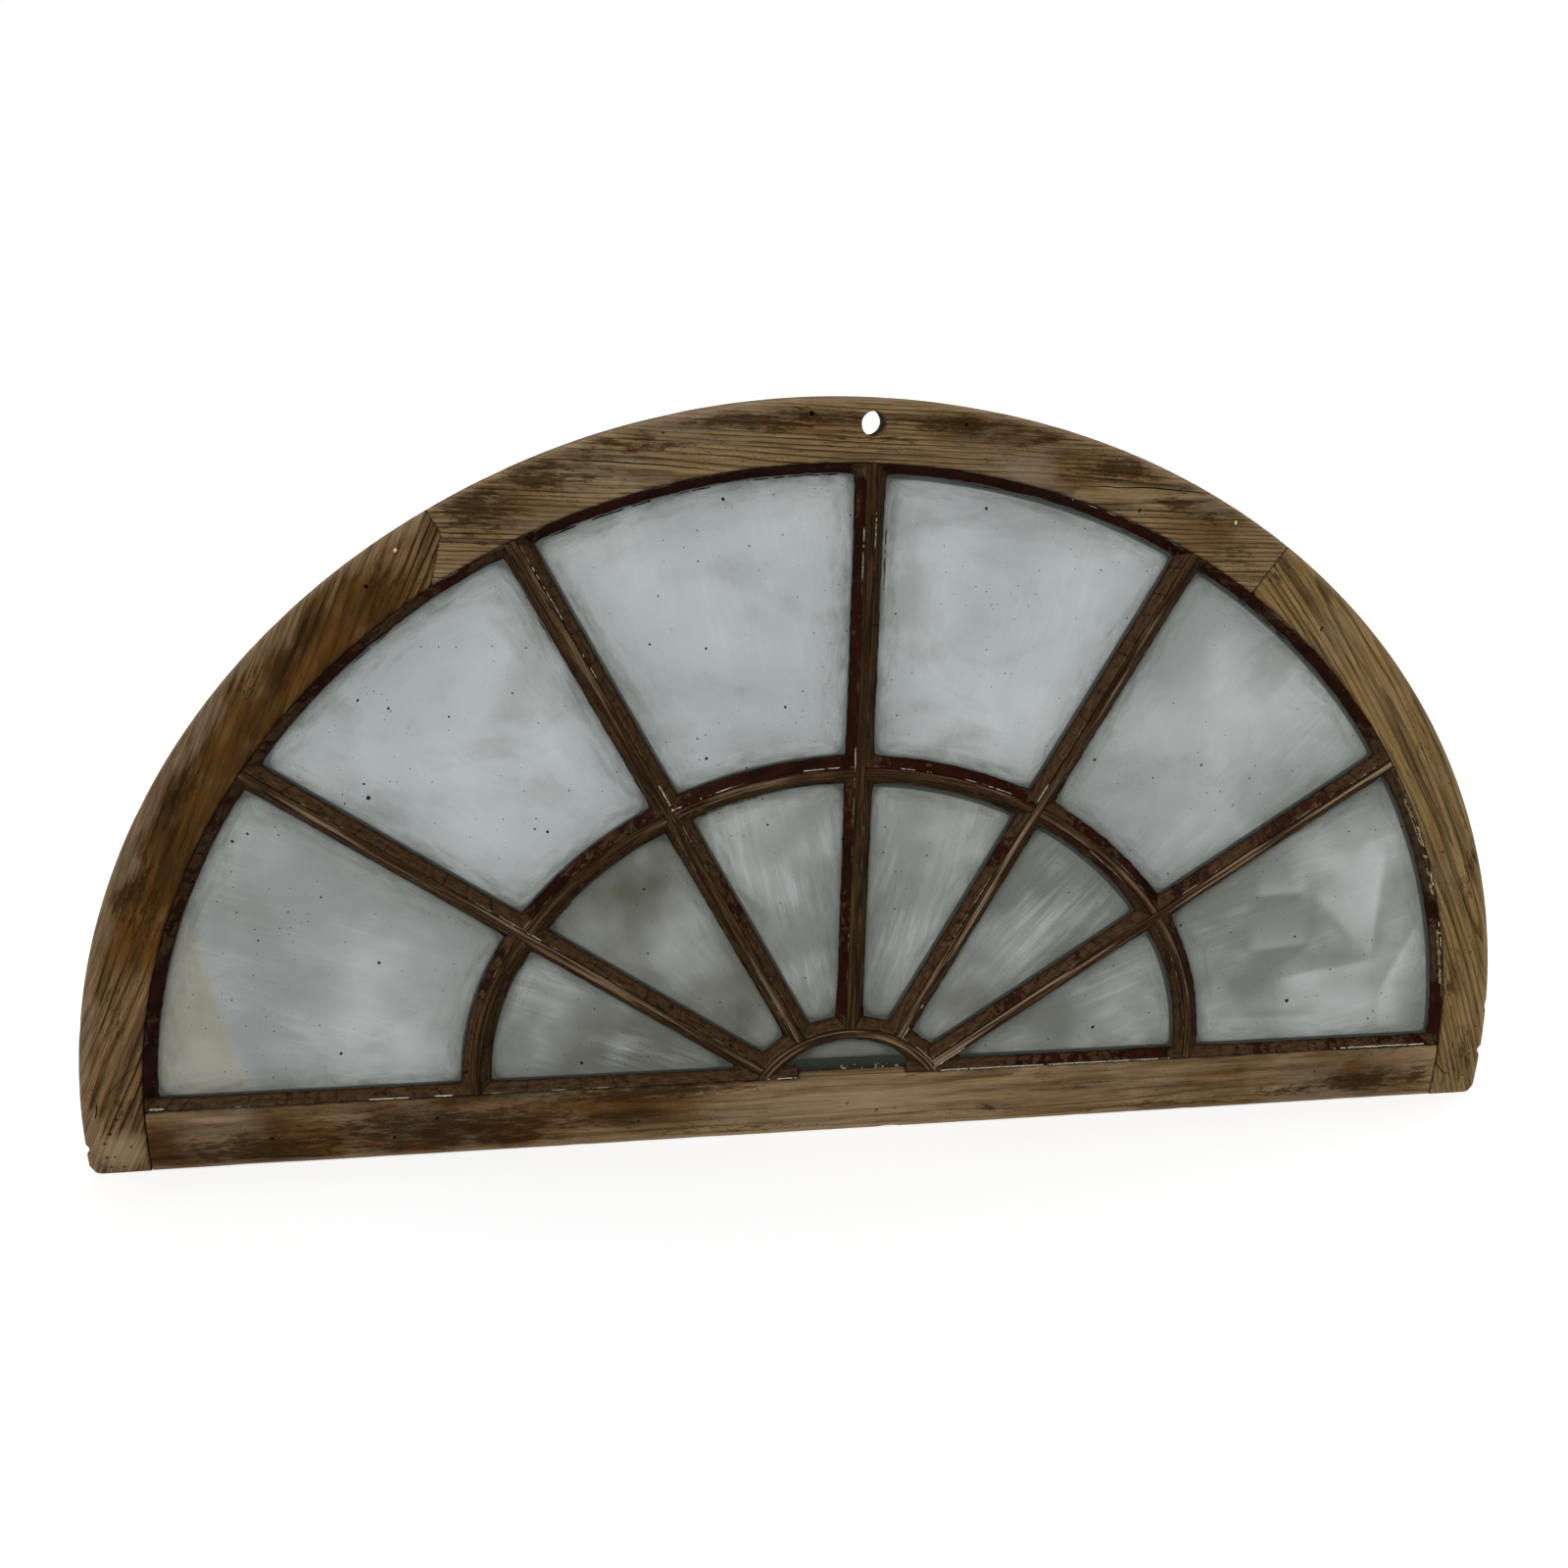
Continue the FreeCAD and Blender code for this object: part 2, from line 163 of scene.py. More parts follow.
class Nodes:
    """A tree of nodes, with short calls for the nodes used here and the colour built up so far."""

    def __init__(self, owner, colour=None):
        owner.use_nodes = True
        self.owner = owner
        self.tree = owner.node_tree
        self.colour = colour

    def add(self, kind, sockets=(), **settings):
        made = self.tree.nodes.new("ShaderNode" + kind)
        for key, value in settings.items():
            setattr(made, key, value)
        for key, value in dict(sockets).items():
            self.feed(made.inputs[key], value)
        return made

    def feed(self, socket, value):
        if isinstance(value, bpy.types.NodeSocket):
            self.tree.links.new(value, socket)
        else:
            socket.default_value = value

    def shade(self, **sockets):
        for key, value in sockets.items():
            self.feed(self.tree.nodes["Principled BSDF"].inputs[key.replace("_", " ")], value)

    def attribute(self, name, output="Fac"):
        return self.add("Attribute", attribute_name=name).outputs[output]

    def noise(self, vector, scale, detail=3.0, roughness=0.55, distortion=0.0):
        scale = scale if isinstance(scale, tuple) else (scale, scale, scale)
        sockets = {"Vector": self.vector("MULTIPLY", vector, scale), "Scale": 1.0, "Detail": detail}
        sockets.update({"Roughness": roughness, "Distortion": distortion})
        return self.add("TexNoise", sockets).outputs["Fac"]

    def math(self, operation, first, second=0.0, third=0.0):
        return self.add("Math", {0: first, 1: second, 2: third}, operation=operation).outputs[0]

    def vector(self, operation, first, second, third=(0, 0, 0)):
        return self.add("VectorMath", {0: first, 1: second, 2: third}, operation=operation).outputs[0]

    def millimetres(self):
        return self.vector("MULTIPLY", self.add("TexCoord").outputs["Object"], (1 / MM, 1 / MM, 1 / MM))

    def flat(self, first, second):
        return self.add("CombineXYZ", {0: first, 1: second}).outputs[0]

    def ramp(self, factor, *stops):
        """A ramp through stops, each a place and a value, or from 0 at a place to a top at another."""
        if not isinstance(stops[0], tuple):
            low, high, top = (*stops, 1.0)[:3]
            stops = (low, 0.0), (high, top)
        made = self.add("ValToRGB", {"Fac": factor})
        elements = made.color_ramp.elements
        while len(elements) < len(stops):
            elements.new(0.5)
        for element, (place, value) in zip(elements, stops):
            element.position = place
            element.color = (value, value, value, 1)
        return made.outputs["Color"]

    def mix(self, factor, first, second):
        return self.add("Mix", {0: factor, 6: first, 7: second}, data_type="RGBA").outputs[2]

    def coat(self, colour, factor, *stops):
        """Lay a colour over the others as far as a factor, or a ramp of it, says."""
        self.colour = self.mix(self.ramp(factor, *stops) if stops else factor, self.colour, colour)

    def uneven(self, name, amount, strength=1.0):
        """A value kept at the points, raised and lowered by a noise."""
        shift = self.math("MULTIPLY_ADD", amount, strength, -strength / 2)
        return self.math("ADD", self.attribute(name), shift)

    def bump(self, height, strength, distance):
        sockets = {"Height": height, "Strength": strength, "Distance": distance * MM}
        self.shade(Normal=self.add("Bump", sockets).outputs[0])

    def by_ray(self, rays, lit, seen):
        """Show one shader to some kinds of ray, and light the rest with another."""
        path = self.add("LightPath").outputs
        factor = 0.0
        for ray in rays:
            factor = self.math("MAXIMUM", factor, path[f"Is {ray} Ray"])
        both = self.add("MixShader", {0: factor, 1: lit, 2: seen}).outputs[0]
        self.feed(self.tree.get_output_node("ALL").inputs["Surface"], both)


# Wood: growth rings round a pith, cut by the board's face, under old varnish, stains and wear

GREYED = srgb(150, 135, 112)
VARNISH = srgb(88, 58, 21)
VARNISH_DARK = srgb(36, 21, 5)
STAIN = srgb(44, 28, 11)
MOULD = srgb(34, 26, 18)
WORN = srgb(150, 129, 103)
# Dark brown for grime in the grain and cracks, and for painted shade in creases and beside the beads
GRIME_AND_SHADE = srgb(20, 14, 10)
OXBLOOD = srgb(46, 17, 8)
OXBLOOD_DARK = srgb(24, 9, 4)

# How dark the wood is from one year's growth to the next
GROWTH = ((0.0, 0.0), (0.45, 0.08), (0.68, 0.35), (0.78, 1.0), (0.96, 1.0), (1.0, 0.0))


def wood_material(name, pale, brown, late, pith, ring_width, figure, waves, grey=0.0, ridged=0.3, fine=0.11):
    """Old softwood; pith is its place across the grain and behind the face, and its lean."""
    n = Nodes(bpy.data.materials.new(name), brown)
    grain = n.attribute("grain", "Vector")
    along, across, inwards = n.add("SeparateXYZ", {0: grain}).outputs
    pith_across, pith_behind, lean = pith

    def streaks(run, span, detail, roughness=0.55):
        return n.noise(grain, (run, span, span), detail, roughness)

    wander = n.math("SUBTRACT", streaks(0.006, 0.022, 2.0), 0.5)
    offset = n.math("MULTIPLY_ADD", wander, waves, n.math("ADD", across, pith_across))
    depth = n.math("MULTIPLY_ADD", along, lean, n.math("ADD", inwards, pith_behind))
    radius = n.math("MULTIPLY_ADD", depth, depth, n.math("MULTIPLY", offset, offset))
    ring = n.math("DIVIDE", n.math("SQRT", radius), ring_width)
    ring = n.math("MULTIPLY_ADD", streaks(0.003, 0.02, 2.0), 3.0, ring)
    ring = n.math("MULTIPLY_ADD", streaks(0.012, 0.12, 2.0), 0.7, ring)
    strength = n.ramp(streaks(0.01, 0.06, 2.0), (0.3, 0.65), (0.6, 1.0))
    latewood = n.math("MULTIPLY", n.ramp(n.math("FRACT", ring), *GROWTH), strength)
    year = n.add("TexWhiteNoise", {"W": n.math("FLOOR", ring)}, noise_dimensions="1D").outputs["Value"]
    latewood = n.math("MULTIPLY", latewood, n.math("MULTIPLY_ADD", year, 0.45, 0.55))

    fibre = streaks(0.03, 0.75, 4.0, 0.65)
    n.coat(pale, fibre, 0.34, 0.66)
    n.coat(late, streaks(fine / 22, fine, 4.0, 0.6), (0.36, 0.65), (0.55, 0.0))
    n.coat(late, n.math("MULTIPLY", latewood, figure))

    blotch = n.ramp(streaks(0.01, 0.06, 5.0, 0.6), 0.38, 0.62)
    kept = n.uneven("varnish", streaks(0.015, 0.07, 6.0, 0.7))
    n.coat(n.mix(blotch, VARNISH_DARK, VARNISH), kept, 0.2, 0.8, 0.9)

    thread = n.math("ABSOLUTE", n.math("SUBTRACT", streaks(0.004, 0.3, 1.0), 0.5))
    broken = n.ramp(streaks(0.012, 0.07, 2.0), 0.46, 0.58)
    ridge = n.math("MULTIPLY", n.ramp(thread, (0.0, ridged), (0.03, 0.0)), broken)
    n.coat(GRIME_AND_SHADE, ridge)

    bleached = n.ramp(streaks(0.012, 0.02, 4.0, 0.6), 0.5, 0.72)
    n.coat(GREYED, n.math("MULTIPLY", bleached, grey))
    n.coat(STAIN, n.uneven("stain", streaks(0.06, 0.28, 6.0, 0.8), 3.0), 0.35, 0.7, 0.8)
    spots = n.ramp(streaks(0.25, 0.7, 3.0, 0.7), 0.56, 0.64)
    spread = n.ramp(streaks(0.02, 0.045, 3.0), 0.5, 0.66, 0.8)
    n.coat(MOULD, n.math("MULTIPLY", spots, spread))
    n.coat(OXBLOOD, n.uneven("painted", streaks(0.03, 0.2, 4.0), 1.6), 0.45, 0.55, 0.9)
    n.coat(WORN, n.uneven("wear", fibre), 0.35, 0.9, 0.7)
    # Painted shade in creases and along edges, with grime at the joints
    n.coat(GRIME_AND_SHADE, n.uneven("dirt", streaks(0.08, 0.3, 4.0)), 0.25, 0.9, 0.95)

    n.bump(n.math("SUBTRACT", fibre, n.math("ADD", latewood, ridge)), 0.6, 0.5)
    n.shade(Base_Color=n.colour, Roughness=0.8, Specular_IOR_Level=0.02)
    return n.owner


CHALK = srgb(82, 61, 41)
CHALK_DARK = srgb(30, 20, 12)
PRIMER = srgb(190, 180, 162)
BARE_WOOD = srgb(82, 61, 38)
BARE_WOOD_DARK = srgb(24, 15, 8)


def putty_material():
    """Ox-blood paint over putty that has dried, cracked and lost some of its paint."""
    n = Nodes(bpy.data.materials.new("painted_putty"), OXBLOOD_DARK)
    place, inset = n.millimetres(), n.attribute("inset")
    fibres = n.flat(n.attribute("run"), inset)
    n.coat(OXBLOOD, n.noise(place, 0.05, 4.0), 0.35, 0.65)
    grit = n.noise(fibres, (0.1, 0.5, 0.0), 6.0, 0.75)
    chalk = n.mix(n.ramp(grit, 0.32, 0.66), CHALK_DARK, CHALK)
    flaked = n.ramp(n.uneven("chalk", n.noise(place, 0.14, 5.0, 0.65), 1.7), 0.46, 0.58)
    n.coat(chalk, flaked)

    fibre = n.noise(fibres, (0.02, 0.4, 0.0), 5.0, 0.7)
    bare = n.mix(n.ramp(fibre, 0.38, 0.68), BARE_WOOD_DARK, BARE_WOOD)
    stripped = n.uneven("stripped", n.noise(fibres, (0.02, 0.1, 0.0), 4.0, 0.65), 1.2)
    n.coat(bare, stripped, 0.4, 0.55, 0.95)

    share = n.math("DIVIDE", inset, REBATE_WIDTH)
    primer = n.ramp(n.noise(place, 0.06, 5.0, 0.75), 0.5, 0.56)
    primer = n.math("MULTIPLY", n.ramp(share, (0.0, 1.0), (0.1, 0.0)), primer)
    stretch = n.ramp(n.noise(place, 0.012, 2.0), 0.5, 0.6, 0.9)
    n.coat(PRIMER, n.math("MULTIPLY", primer, stretch))
    # Painted shade: dark at the bead's foot on the glass and along its top beside the nosing
    n.coat(GRIME_AND_SHADE, share, 0.75, 1.0, 0.75)
    n.coat(GRIME_AND_SHADE, share, (0.0, 0.7), (0.07, 0.0))
    n.coat(GRIME_AND_SHADE, n.attribute("crack"))

    n.bump(n.math("MULTIPLY", grit, n.math("ADD", flaked, 0.15)), 0.6, 0.5)
    n.shade(Base_Color=n.colour, Roughness=n.ramp(flaked, (0.0, 0.42), (1.0, 0.85)), Specular_IOR_Level=0.03)
    return n.owner


HAZE_UPPER = srgb(176, 183, 184)
HAZE_IN_PAINTED_SHADE = srgb(84, 84, 69)
HAZE_BRIGHT = srgb(206, 211, 210)
FILM = srgb(116, 119, 112)
SMEAR = srgb(98, 102, 92)
BEAD_SHADE_AND_REFLECTION = srgb(34, 37, 30)
OCHRE = srgb(158, 147, 114)
SPECK = srgb(12, 11, 9)

# How far smears, the painted shade line at the beads' foot and the beads' painted reflection reach in from a
# pane's edge
SMEAR_REACH, SMEAR_RAGGED, SHADE_LINE_REACH, REFLECTION_REACH = 40.0, 44.0, 8.0, 5.0

# Specks from large to small: how many to a millimetre, how large in its cell, and which share is left out
SPECK_SIZES = ((0.009, 0.018, 0.5), (0.02, 0.028, 0.6), (0.08, 0.06, 0.93), (0.2, 0.1, 0.97))


def glass_material():
    """Old glass under a film of dust, with wiped streaks, grimy margins and black specks; painted shade lines
    and reflections at the beads, painted reflections of folds, and panes darkened as painted shade.
    """
    n = Nodes(bpy.data.materials.new("dirty_glass"), HAZE_UPPER)
    place, brush = n.millimetres(), n.attribute("brush", "Vector")
    tone, painted_fold_light = n.attribute("tone"), n.attribute("painted_fold_light")
    # Painted shade: darker panes stand in for the shade behind the glass, on top of the haze's own tone
    n.coat(HAZE_IN_PAINTED_SHADE, tone)
    n.coat(HAZE_BRIGHT, n.noise(place, 0.007), 0.42, 0.66, 0.5)
    dusk = n.noise(place, (0.01, 0.01, 0.014), 5.0, 0.55, 0.5)
    n.coat(FILM, dusk, (0.34, 0.35), (0.5, 0.0))

    streak = n.noise(brush, (0.012, 0.16, 0.0), 5.0, 0.7, 0.8)
    wiped = n.ramp(n.noise(place, 0.014, 2.0), (0.42, 0.05), (0.62, 1.0))
    wiped = n.math("MULTIPLY", wiped, n.ramp(streak, 0.45, 0.68, 0.42))
    n.coat(HAZE_BRIGHT, n.math("MULTIPLY", wiped, n.attribute("wiped")))
    # Painted reflection: the folds' light side lighter and their other side darker
    n.coat(HAZE_BRIGHT, n.math("MAXIMUM", painted_fold_light, 0.0))
    n.coat(FILM, n.math("MAXIMUM", n.math("MULTIPLY", painted_fold_light, -1.0), 0.0))
    n.coat(OCHRE, n.attribute("warm"))

    wobble = n.noise(n.attribute("rim", "Vector"), (0.03, 0.11, 0.0), 6.0, 0.7, 0.4)
    margin = n.math("DIVIDE", n.uneven("edge", wobble, SMEAR_RAGGED), SMEAR_REACH)
    halo = n.ramp(margin, (0.0, 0.75), (0.15, 0.5), (0.4, 0.2), (1.0, 0.0))
    n.coat(SMEAR, halo)
    # Painted shade: a dark line at the foot of each bead
    n.coat(BEAD_SHADE_AND_REFLECTION, n.math("DIVIDE", n.attribute("edge"), SHADE_LINE_REACH), (0.0, 0.6), (0.2, 0.2), (0.5, 0.0))
    # Painted reflection: a dark band where the beads would mirror in the glass
    n.coat(BEAD_SHADE_AND_REFLECTION, n.math("DIVIDE", n.attribute("painted_bead_reflection"), REFLECTION_REACH), 0.0, 0.2, 0.8)

    shake = n.add("TexNoise", {"Vector": place, "Scale": 0.5}).outputs["Color"]
    shaken = n.add("SeparateXYZ", {0: n.vector("MULTIPLY_ADD", shake, (2, 2, 2), place)}).outputs
    flat = n.flat(shaken[0], shaken[2])
    crowd = n.ramp(n.noise(place, 0.012), 0.5, 0.66, 0.18)
    specks = 0.0
    for scale, radius, kept in SPECK_SIZES:
        cells = n.add("TexVoronoi", {"Vector": flat, "Scale": scale}, voronoi_dimensions="2D").outputs
        pick = n.add("SeparateColor", {0: cells["Color"]}).outputs
        near = n.math("LESS_THAN", cells["Distance"], n.math("MULTIPLY", pick[1], radius))
        chosen = n.math("GREATER_THAN", n.math("ADD", pick[0], crowd), kept)
        specks = n.math("MAXIMUM", specks, n.math("MULTIPLY", near, chosen))
    n.coat(SPECK, specks)

    cover = n.ramp(tone, (0.0, 0.9), (1.0, 0.97))
    cover = n.math("MAXIMUM", cover, n.math("MAXIMUM", halo, specks))
    n.bump(n.noise(brush, (0.02, 0.3, 0.0)), 0.08, 0.2)
    n.shade(Base_Color=n.colour, Alpha=cover, Roughness=n.ramp(dusk, (0.3, 0.2), (0.7, 0.45)))
    n.shade(Specular_IOR_Level=0.12)
    return n.owner


def plain_material(name, light, dark, scale, roughness):
    """A rough, uneven colour for flakes, crumbs and plugs."""
    n = Nodes(bpy.data.materials.new(name), dark)
    tint = n.noise(n.millimetres(), scale, 4.0, 0.7)
    n.coat(light, tint, 0.35, 0.65)
    n.shade(Base_Color=n.colour, Roughness=roughness)
    n.bump(tint, 0.5, 0.3)
    return n.owner


# Meshes

# Edges bent more than this, in degrees, stay sharp
SHARP_CREASE = 35
SOFT_CREASE = 50


def new_piece(name, points, faces):
    """A mesh object from points in millimetres."""
    mesh = bpy.data.meshes.new(name)
    mesh.from_pydata((np.asarray(points) * MM).tolist(), [], [list(face) for face in faces])
    shaped = bmesh.new()
    shaped.from_mesh(mesh)
    bmesh.ops.recalc_face_normals(shaped, faces=shaped.faces)
    shaped.to_mesh(mesh)
    shaped.free()
    piece = bpy.data.objects.new(name, mesh)
    bpy.context.scene.collection.objects.link(piece)
    return piece


def vectors_of(layer, key):
    """The vectors that a mesh keeps at its points."""
    flat = np.empty(len(layer) * 3, np.float32)
    layer.foreach_get(key, flat)
    return flat.reshape(-1, 3).astype(float)


def places_of(piece):
    """A piece's points, in millimetres."""
    return vectors_of(piece.data.vertices, "co") / MM


def paint(piece, **layers):
    """Keep numbers or vectors at the piece's points for its material to read."""
    for name, values in layers.items():
        values = np.asarray(values, np.float32)
        kind, key = ("FLOAT", "value") if values.ndim == 1 else ("FLOAT_VECTOR", "vector")
        layer = piece.data.attributes.new(name, kind, "POINT")
        layer.data.foreach_set(key, values.ravel())


def finish_piece(piece, material, node=None, crease=SHARP_CREASE):
    """Shade a piece, give it its material and set it on the fixed frame."""
    piece.data.shade_smooth()
    piece.data.set_sharp_from_angle(angle=math.radians(crease))
    piece.data.materials.clear()
    piece.data.materials.append(material)
    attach(piece, "root")
    if node:
        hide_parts(node)


def ring_faces(rings, count, closed=False):
    """Faces between rings of points; a closed run's last ring meets its first."""
    near = np.arange(count)
    beside = np.roll(near, -1)
    faces = []
    for row in range(rings if closed else rings - 1):
        low, high = row * count, (row + 1) % rings * count
        faces.extend(np.stack([low + near, low + beside, high + beside, high + near], 1).tolist())
    return faces


def shell(rings, closed=False):
    """Points and faces of a solid through rings of points, capped unless it closes on itself."""
    rings = np.asarray(rings)
    number, count = rings.shape[:2]
    faces = ring_faces(number, count, closed)
    if not closed:
        ends = np.arange(number * count)
        faces += [ends[:count].tolist(), ends[:-count - 1:-1].tolist()]
    return rings.reshape(-1, 3), faces


def rounded_outline(corners, radii, steps):
    """Points round a closed outline, with eased corners and edges divided into steps."""
    corners = np.asarray(corners, float)
    points = []
    for index, corner in enumerate(corners):
        following = (index + 1) % len(corners)
        after = unit(corners[following] - corner)
        start = corner + unit(corners[index - 1] - corner) * radii[index]
        stop = corner + after * radii[index]
        shares = np.linspace(0, 1, 5 if radii[index] else 1)[:, None]
        points.extend((1 - shares) ** 2 * start + 2 * shares * (1 - shares) * corner + shares ** 2 * stop)
        edge = corners[following] - after * radii[following] - stop
        count = max(1, round(np.hypot(*edge) / steps[index]))
        points.extend(stop + edge * share for share in np.arange(1, count) / count)
    return np.array(points)


def inward(outline):
    """The inward direction at each point of a closed outline."""
    after = np.roll(outline, -1, 0)
    area = np.sum(outline[:, 0] * after[:, 1] - outline[:, 1] * after[:, 0])
    return turned(unit(after - np.roll(outline, 1, 0))) * np.sign(area)


def swept(name, outline, limits, place, step, per_unit=1.0):
    """An outline run along a path, with each of its points between its own two limits."""
    starts, ends = limits(*outline.T)
    length = np.mean(np.abs(ends - starts)) * per_unit
    lip = min(0.3, JOINT_EASE / length)
    shares = np.clip(np.linspace(0, 1, max(3, int(length / step))), lip, 1 - lip)
    eased = outline + inward(outline) * JOINT_EASE
    rings = [place(*eased.T, starts)]
    rings += [place(*outline.T, starts + share * (ends - starts)) for share in shares]
    rings.append(place(*eased.T, ends))
    faces = ring_faces(len(rings), len(outline))
    last = (len(rings) - 1) * len(outline)
    for triangle in tessellate_polygon([[Vector((*corner, 0)) for corner in outline]]):
        faces += [triangle, [last + corner for corner in reversed(triangle)]]
    return new_piece(name, np.concatenate(rings), faces)


def lip_at(depth):
    """How wide the lip of a moulded edge is at a depth."""
    return REBATE_WIDTH * np.where(depth < SEAT - 0.01, 0.0, np.clip((BEVEL - depth) / BEVEL_DEPTH, 0, 1))


def moulding(face, sign):
    """Corners of one moulded edge, front to back: glazing rebate, lip and bevel."""
    out = face + sign * REBATE_WIDTH
    return [(face, FRONT), (face, SEAT), (out, SEAT), (out, LIP), (face, BEVEL), (face, BACK)]


MOULDING_ROUND = [1.0, 0.0, 0.5, 0.6, 0.8, 1.0]
MOULDING_STEPS = [4.0, 3.5, 3.0, 2.5, 3.0]


def on_fan(radius, depth, angle, centre=FAN_CENTRE):
    """Points at a radius and an angle about a centre in the fan's plane."""
    up = centre[1] + radius * np.sin(angle) + CENTRE_HEIGHT
    return xyz(centre[0] + radius * np.cos(angle), depth, up)


def along_spoke(angle):
    """A place function for a straight bar that points away from the fan's centre."""
    def place(across, depth, run):
        up = run * math.sin(angle) + across * math.cos(angle) + CENTRE_HEIGHT
        return xyz(run * math.cos(angle) - across * math.sin(angle), depth, up)
    return place


# Carving: holes, splits and nicks cut out of a wooden piece

# How far a cutter stands out of the face, and how wide and deep a worm hole opens for its width
CUTTER_OUT = 1.0
HOLE_SPREAD = 1.35
HOLE_SINK = 2.2
HOLE_SIDES = 9
BOLT_SIDES = 64


def carve(piece, cutters):
    """Cut several closed shapes out of a piece."""
    for cutter in cutters:
        cut = piece.modifiers.new("carve", "BOOLEAN")
        cut.operation = "DIFFERENCE"
        cut.solver = "MANIFOLD"
        cut.object = cutter
    bpy.context.view_layer.update()
    graph = bpy.context.evaluated_depsgraph_get()
    carved = bpy.data.meshes.new_from_object(piece.evaluated_get(graph))
    piece.modifiers.clear()
    uncut = piece.data
    piece.data = carved
    bpy.data.meshes.remove(uncut)
    for cutter in cutters:
        bpy.data.objects.remove(cutter)


def drill(x, z, width, seed):
    """A cutter for a ragged worm hole of a width in the front face."""
    turns = np.arange(HOLE_SIDES) * 2 * np.pi / HOLE_SIDES
    rim = np.random.default_rng(seed).uniform(0.75, 1.15, HOLE_SIDES) * HOLE_SPREAD * width / 2
    rings = []
    for depth, share in ((-CUTTER_OUT, 1.1), (0.3, 1.0), (HOLE_SINK * width, 0.55)):
        rings.append(xyz(x + rim * share * np.cos(turns), FRONT + depth, z + rim * share * np.sin(turns)))
    return new_piece("cutter", *shell(rings))


def split(route, width, depth, seed):
    """A cutter for a split that follows a route on the front face and closes at its ends."""
    route = np.asarray(route, float)
    runs = runs_along(route)
    count = max(6, int(runs[-1] / 3))
    at = np.linspace(0, runs[-1], count)
    line = np.stack([np.interp(at, runs, route[:, 0]), np.interp(at, runs, route[:, 1])], 1)
    side = turned(unit(np.gradient(line, axis=0)))
    line = line + noise(xyz(at, 0, 0), 9.0, seed)[:, None] * side * 0.5
    share = np.linspace(0, 1, count)
    half = side * np.maximum(width * np.sqrt(np.clip(4 * share * (1 - share), 0, 1)), 0.06)[:, None] / 2
    edges = ((line - half, -CUTTER_OUT), (line + half, -CUTTER_OUT), (line, depth))
    rings = np.stack([xyz(edge[:, 0], FRONT + height, edge[:, 1]) for edge, height in edges], 1)
    return new_piece("cutter", *shell(rings))


def gouge(x, depth, z, size, seed):
    """A cutter for a nick: an uneven ball with its middle at a place and a size along each axis."""
    ball = bmesh.new()
    bmesh.ops.create_icosphere(ball, subdivisions=3, radius=1.0)
    points = np.array([vertex.co[:] for vertex in ball.verts])
    faces = [[vertex.index for vertex in face.verts] for face in ball.faces]
    ball.free()
    points *= (1 + 0.25 * rough(points, 0.7, seed))[:, None]
    return new_piece("cutter", points * np.asarray(size) + (x, depth, z), faces)


def bolt_cutter():
    """A cutter for the crown's hole, with its edges broken at both faces."""
    turns = np.linspace(0, 2 * np.pi, BOLT_SIDES, endpoint=False)
    ragged = 1 + 0.02 * noise(xyz(np.cos(turns), np.sin(turns), 0), 0.35, 4)
    up = ARCH_RADIUS - BOLT_INSET
    rings = []
    for depth, more in ((FRONT - 1, 1.6), (FRONT + 0.9, 0.0), (BACK - 0.9, 0.0), (BACK + 1, 1.6)):
        rings.append(on_fan((BOLT_HOLE / 2 + more) * ragged, depth, turns, (0, up)))
    return new_piece("cutter", *shell(rings))


# Grain directions and weather

def board_grain(angle, rise=0.0):
    """Grain that runs straight at an angle from a height: along, across and depth."""
    def grain(points):
        x, depth, up = points[:, 0], points[:, 1], points[:, 2] - rise
        across = up * math.cos(angle) - x * math.sin(angle)
        return xyz(x * math.cos(angle) + up * math.sin(angle), across, depth)
    return grain


def bent_grain(centre, radius):
    """Grain that follows a curved bar."""
    def grain(points):
        away, turn = fan_polar(points, centre)
        return xyz(turn * radius, away - radius, points[:, 1])
    return grain


def fan_polar(points, centre=FAN_CENTRE):
    """Radius and angle of points about a centre in the fan's plane."""
    x, z = points[:, 0] - centre[0], points[:, 2] - centre[1] - CENTRE_HEIGHT
    return np.hypot(x, z), np.arctan2(z, x)


def weather(piece, grain, depth, seed):
    """Sink a wooden surface unevenly: raised grain, dents and rubbed edges."""
    points = places_of(piece)
    ridges = 0.5 + 0.5 * noise(grain(points), (70, 2.6, 2.6), seed)
    dents = smooth_step(noise(points, 26, seed + 3), 0.25, 0.9)
    sunk = 0.12 + depth * (0.45 * ridges + 0.9 * dents + 0.2 * (1 + noise(points, 90, seed + 5)))
    points = points - vectors_of(piece.data.vertex_normals, "vector") * sunk[:, None]
    points[:, 2] = np.maximum(points[:, 2], 0)
    piece.data.vertices.foreach_set("co", (points * MM).astype(np.float32).ravel())
    piece.data.update()


def blots(points, spots):
    """Soft blots at places on the front: x, z, size along x, size along z and strength."""
    total = 0.0
    for x, z, wide, high, strength in spots:
        reach = ((points[..., 0] - x) / wide) ** 2 + ((points[..., 2] - z) / high) ** 2
        total = np.maximum(total, strength * np.exp(-reach))
    return total


# Openings between the bars, drawn for the right half about the fan's centre

def rail_line(inset):
    """The line above the rail, as a point and a direction."""
    return np.array([0.0, RISE + inset]), np.array([1.0, 0.0])


def spoke_line(row, side, inset):
    """The line beside a spoke, above it (side 1) or below it (side -1)."""
    along = np.array([math.cos(SPOKE_ANGLES[row]), math.sin(SPOKE_ANGLES[row])])
    return turned(along) * side * (HALF_NOSING + inset), along


def line_meets_circle(line, circle):
    """Where a line, going outwards, leaves a circle."""
    start, along = line
    centre, radius = circle
    behind = np.dot(start - centre, along)
    apart = np.dot(start - centre, start - centre) - radius ** 2
    return start + (math.sqrt(behind ** 2 - apart) - behind) * along


